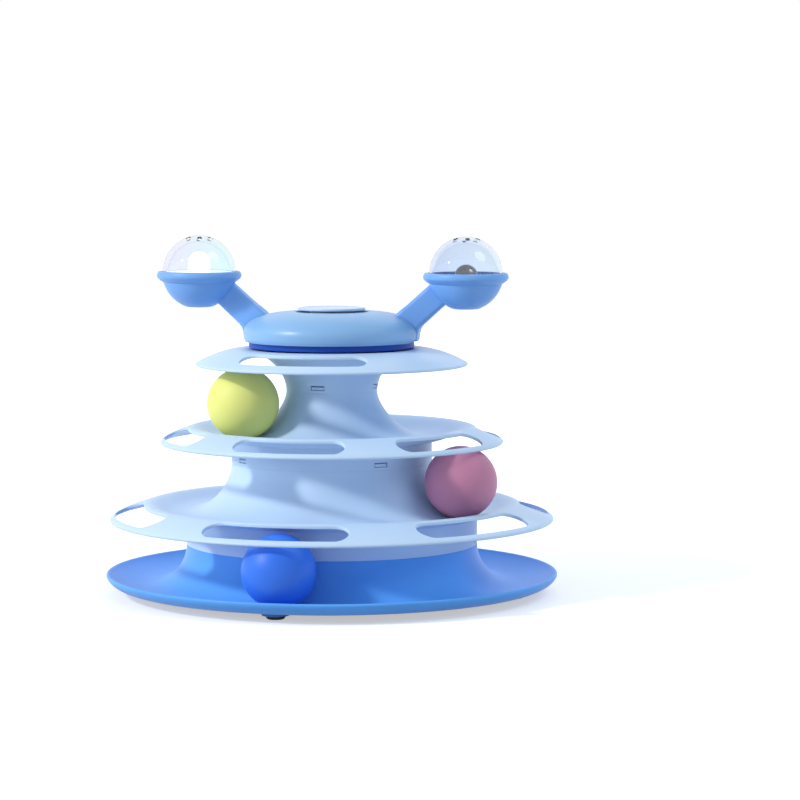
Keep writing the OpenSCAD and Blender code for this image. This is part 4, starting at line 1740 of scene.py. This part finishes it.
@dataclass(frozen=True)
class Lamp:
    """A round soft lamp that faces the toy.

    Place and size are in metres and power in watts. A gloss shows only the key, and a look
    through a clear wall only the top lamp.
    """

    name: str
    place: Place
    size: float
    power: float
    colour: Colour
    aim: Place = (0.0, 0.0, 0.09)

    def build(self) -> None:
        """Set up the lamp."""
        data = bpy.data.lights.new(self.name, "AREA")
        data.shape = "DISK"
        data.size, data.energy, data.color = self.size, self.power, self.colour
        lamp = linked(self.name, data)
        lamp.location = self.place
        way = Vector(self.aim) - Vector(self.place)
        lamp.rotation_euler = way.to_track_quat("-Z", "Y").to_euler()
        lamp.visible_camera = False
        lamp.visible_glossy = self.name == "key"
        lamp.visible_transmission = self.name == "top"


@dataclass
class Studio:
    """Camera, floor and soft lamps."""

    distance: float = 1.65604
    height: float = 0.247415
    across: float = 0.001424
    pitch: float = 4.86474
    yaw: float = 1.25664
    lens: float = 135.0
    sensor: float = 36.0
    sky: Colour = (0.84, 0.91, 1.0)
    sky_strength: float = 0.50
    floor: Colour = (0.60, 0.61, 0.64)
    floor_fade: tuple[float, float, float, float] = (0.16, 1.4, 0.50, 0.76)
    lamps: tuple[Lamp, ...] = (
        Lamp("key", (-1.55, -0.75, 1.25), 0.24, 25.0, (1.0, 0.97, 0.90)),
        Lamp("side", (-2.0, -0.55, 0.45), 0.35, 7.5, (1.0, 0.98, 0.94)),
        Lamp("back", (0.4, 2.0, 0.75), 1.8, 24.0, (0.92, 0.97, 1.0)),
        Lamp("top", (0.95, -0.35, 1.25), 0.8, 6.0, (0.88, 0.97, 1.0)),
        Lamp("rim_left", (-1.9, 0.45, 0.5), 0.5, 5.0, (0.92, 1.0, 1.0)),
        Lamp("rim_right", (1.9, -0.1, 0.5), 0.5, 4.0, (0.70, 0.92, 1.0)))

    def _camera(self) -> None:
        """Set the camera at the photograph's viewpoint."""
        data = bpy.data.cameras.new("camera")
        data.sensor_width, data.lens, data.clip_end = self.sensor, self.lens, 20.0
        cam = linked("camera", data)
        cam.location = (self.across, -self.distance, self.height)
        cam.rotation_euler = (math.radians(90 - self.pitch), 0, math.radians(-self.yaw))
        bpy.context.scene.camera = cam

    @staticmethod
    def _looking(wiring: Wiring) -> Socket:
        """Tell looks from light.

        Args:
            wiring: The tree to wire in.

        Returns:
            One where the lens, a gloss or a clear wall looks, and zero for other light.
        """
        path = wiring.node("ShaderNodeLightPath").outputs
        seen = wiring.calc("MAXIMUM", path["Is Camera Ray"], path["Is Glossy Ray"])
        return wiring.calc("MAXIMUM", seen, path["Is Transmission Ray"])

    def _white_world(self) -> None:
        """A pale even sky that shows white behind the toy."""
        world = bpy.context.scene.world = bpy.data.worlds.new("studio_sky")
        w = Wiring.of(world)
        lit, seen = (w.node("ShaderNodeBackground", {"Color": colour, "Strength": strength}).outputs[0]
                     for colour, strength in (((*self.sky, 1), self.sky_strength), (WHITE, 1.0)))
        mix = w.node("ShaderNodeMixShader", {0: self._looking(w), 1: lit, 2: seen})
        w.node("ShaderNodeOutputWorld", {0: mix.outputs[0]})

    def _floor(self) -> None:
        """A plain pale floor that fades into the white behind it."""
        mesh = bpy.data.meshes.new("floor")
        side, front, back = 6, -4, 12
        mesh.from_pydata([(-side, front, 0), (side, front, 0), (side, back, 0), (-side, back, 0)], [],
                         [(0, 1, 2, 3)])
        mat = bpy.data.materials.new("floor_pale")
        mesh.materials.append(mat)
        w = Wiring.of(mat)
        place = w.node("ShaderNodeTexCoord").outputs["Object"]
        away = w.node("ShaderNodeVectorMath", {0: place}, operation="LENGTH").outputs["Value"]
        fade = w.ranged(away, self.floor_fade, "SMOOTHSTEP")
        matt = w.node("ShaderNodeBsdfDiffuse", {"Color": (*self.floor, 1)}).outputs[0]
        lift = w.node("ShaderNodeEmission", {
            "Color": WHITE, "Strength": w.calc("MULTIPLY", fade, self._looking(w))}).outputs[0]
        both = w.node("ShaderNodeAddShader", {0: matt, 1: lift}).outputs[0]
        w.node("ShaderNodeOutputMaterial", {"Surface": both})
        floor = linked("floor", mesh)

    def build(self) -> None:
        """Set up the whole studio."""
        bpy.context.scene.view_settings.view_transform = "Standard"
        self._camera()
        self._white_world()
        self._floor()
        for lamp in self.lamps:
            lamp.build()


def main() -> None:
    """Build the studio and every piece, in order."""
    logging.basicConfig(level=logging.INFO, format="%(message)s")
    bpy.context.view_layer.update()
    Studio().build()
    shop, shared = Workshop(), TowerSizes()
    dish, top, head = BaseDish(shared), TopTrack(shared), Head()
    lower = Track("lower_track", shared, shared.base, shared.lower, trough_r=81.5, trough=45.2,
                  lip_r=101.702, lip=50.1, rim_r=122.6, drop=8.3, rise=0.46, run=0.55)
    middle = Track("middle_track", shared, shared.lower, shared.middle, trough_r=53.3, trough=86.5,
                   lip_r=77.792, lip=92.3, rim_r=94.7, drop=7.9, rise=0.37, run=0.47)
    balls = [PlayBall("blue_ball", Body.BASE_BALL, Finishes.ball_blue, dish.track_r, dish.trough, -15.7),
             PlayBall("pink_ball", Body.LOWER_BALL, Finishes.ball_pink, lower.trough_r, lower.trough, 58.9),
             PlayBall("yellow_ball", Body.MIDDLE_BALL, Finishes.ball_yellow, middle.trough_r,
                      middle.trough, -65.4)]
    for part in (dish, lower, middle, top, *balls, head, *(Pod(head, side) for side in Side)):
        part.build(shop)
    for node, finish in (("head_bush", Finishes.bush), ("head_washer", Finishes.fastener),
                         ("head_screw", Finishes.fastener)):
        shop.dress(node, finish)


if __name__ == "__main__":
    main()
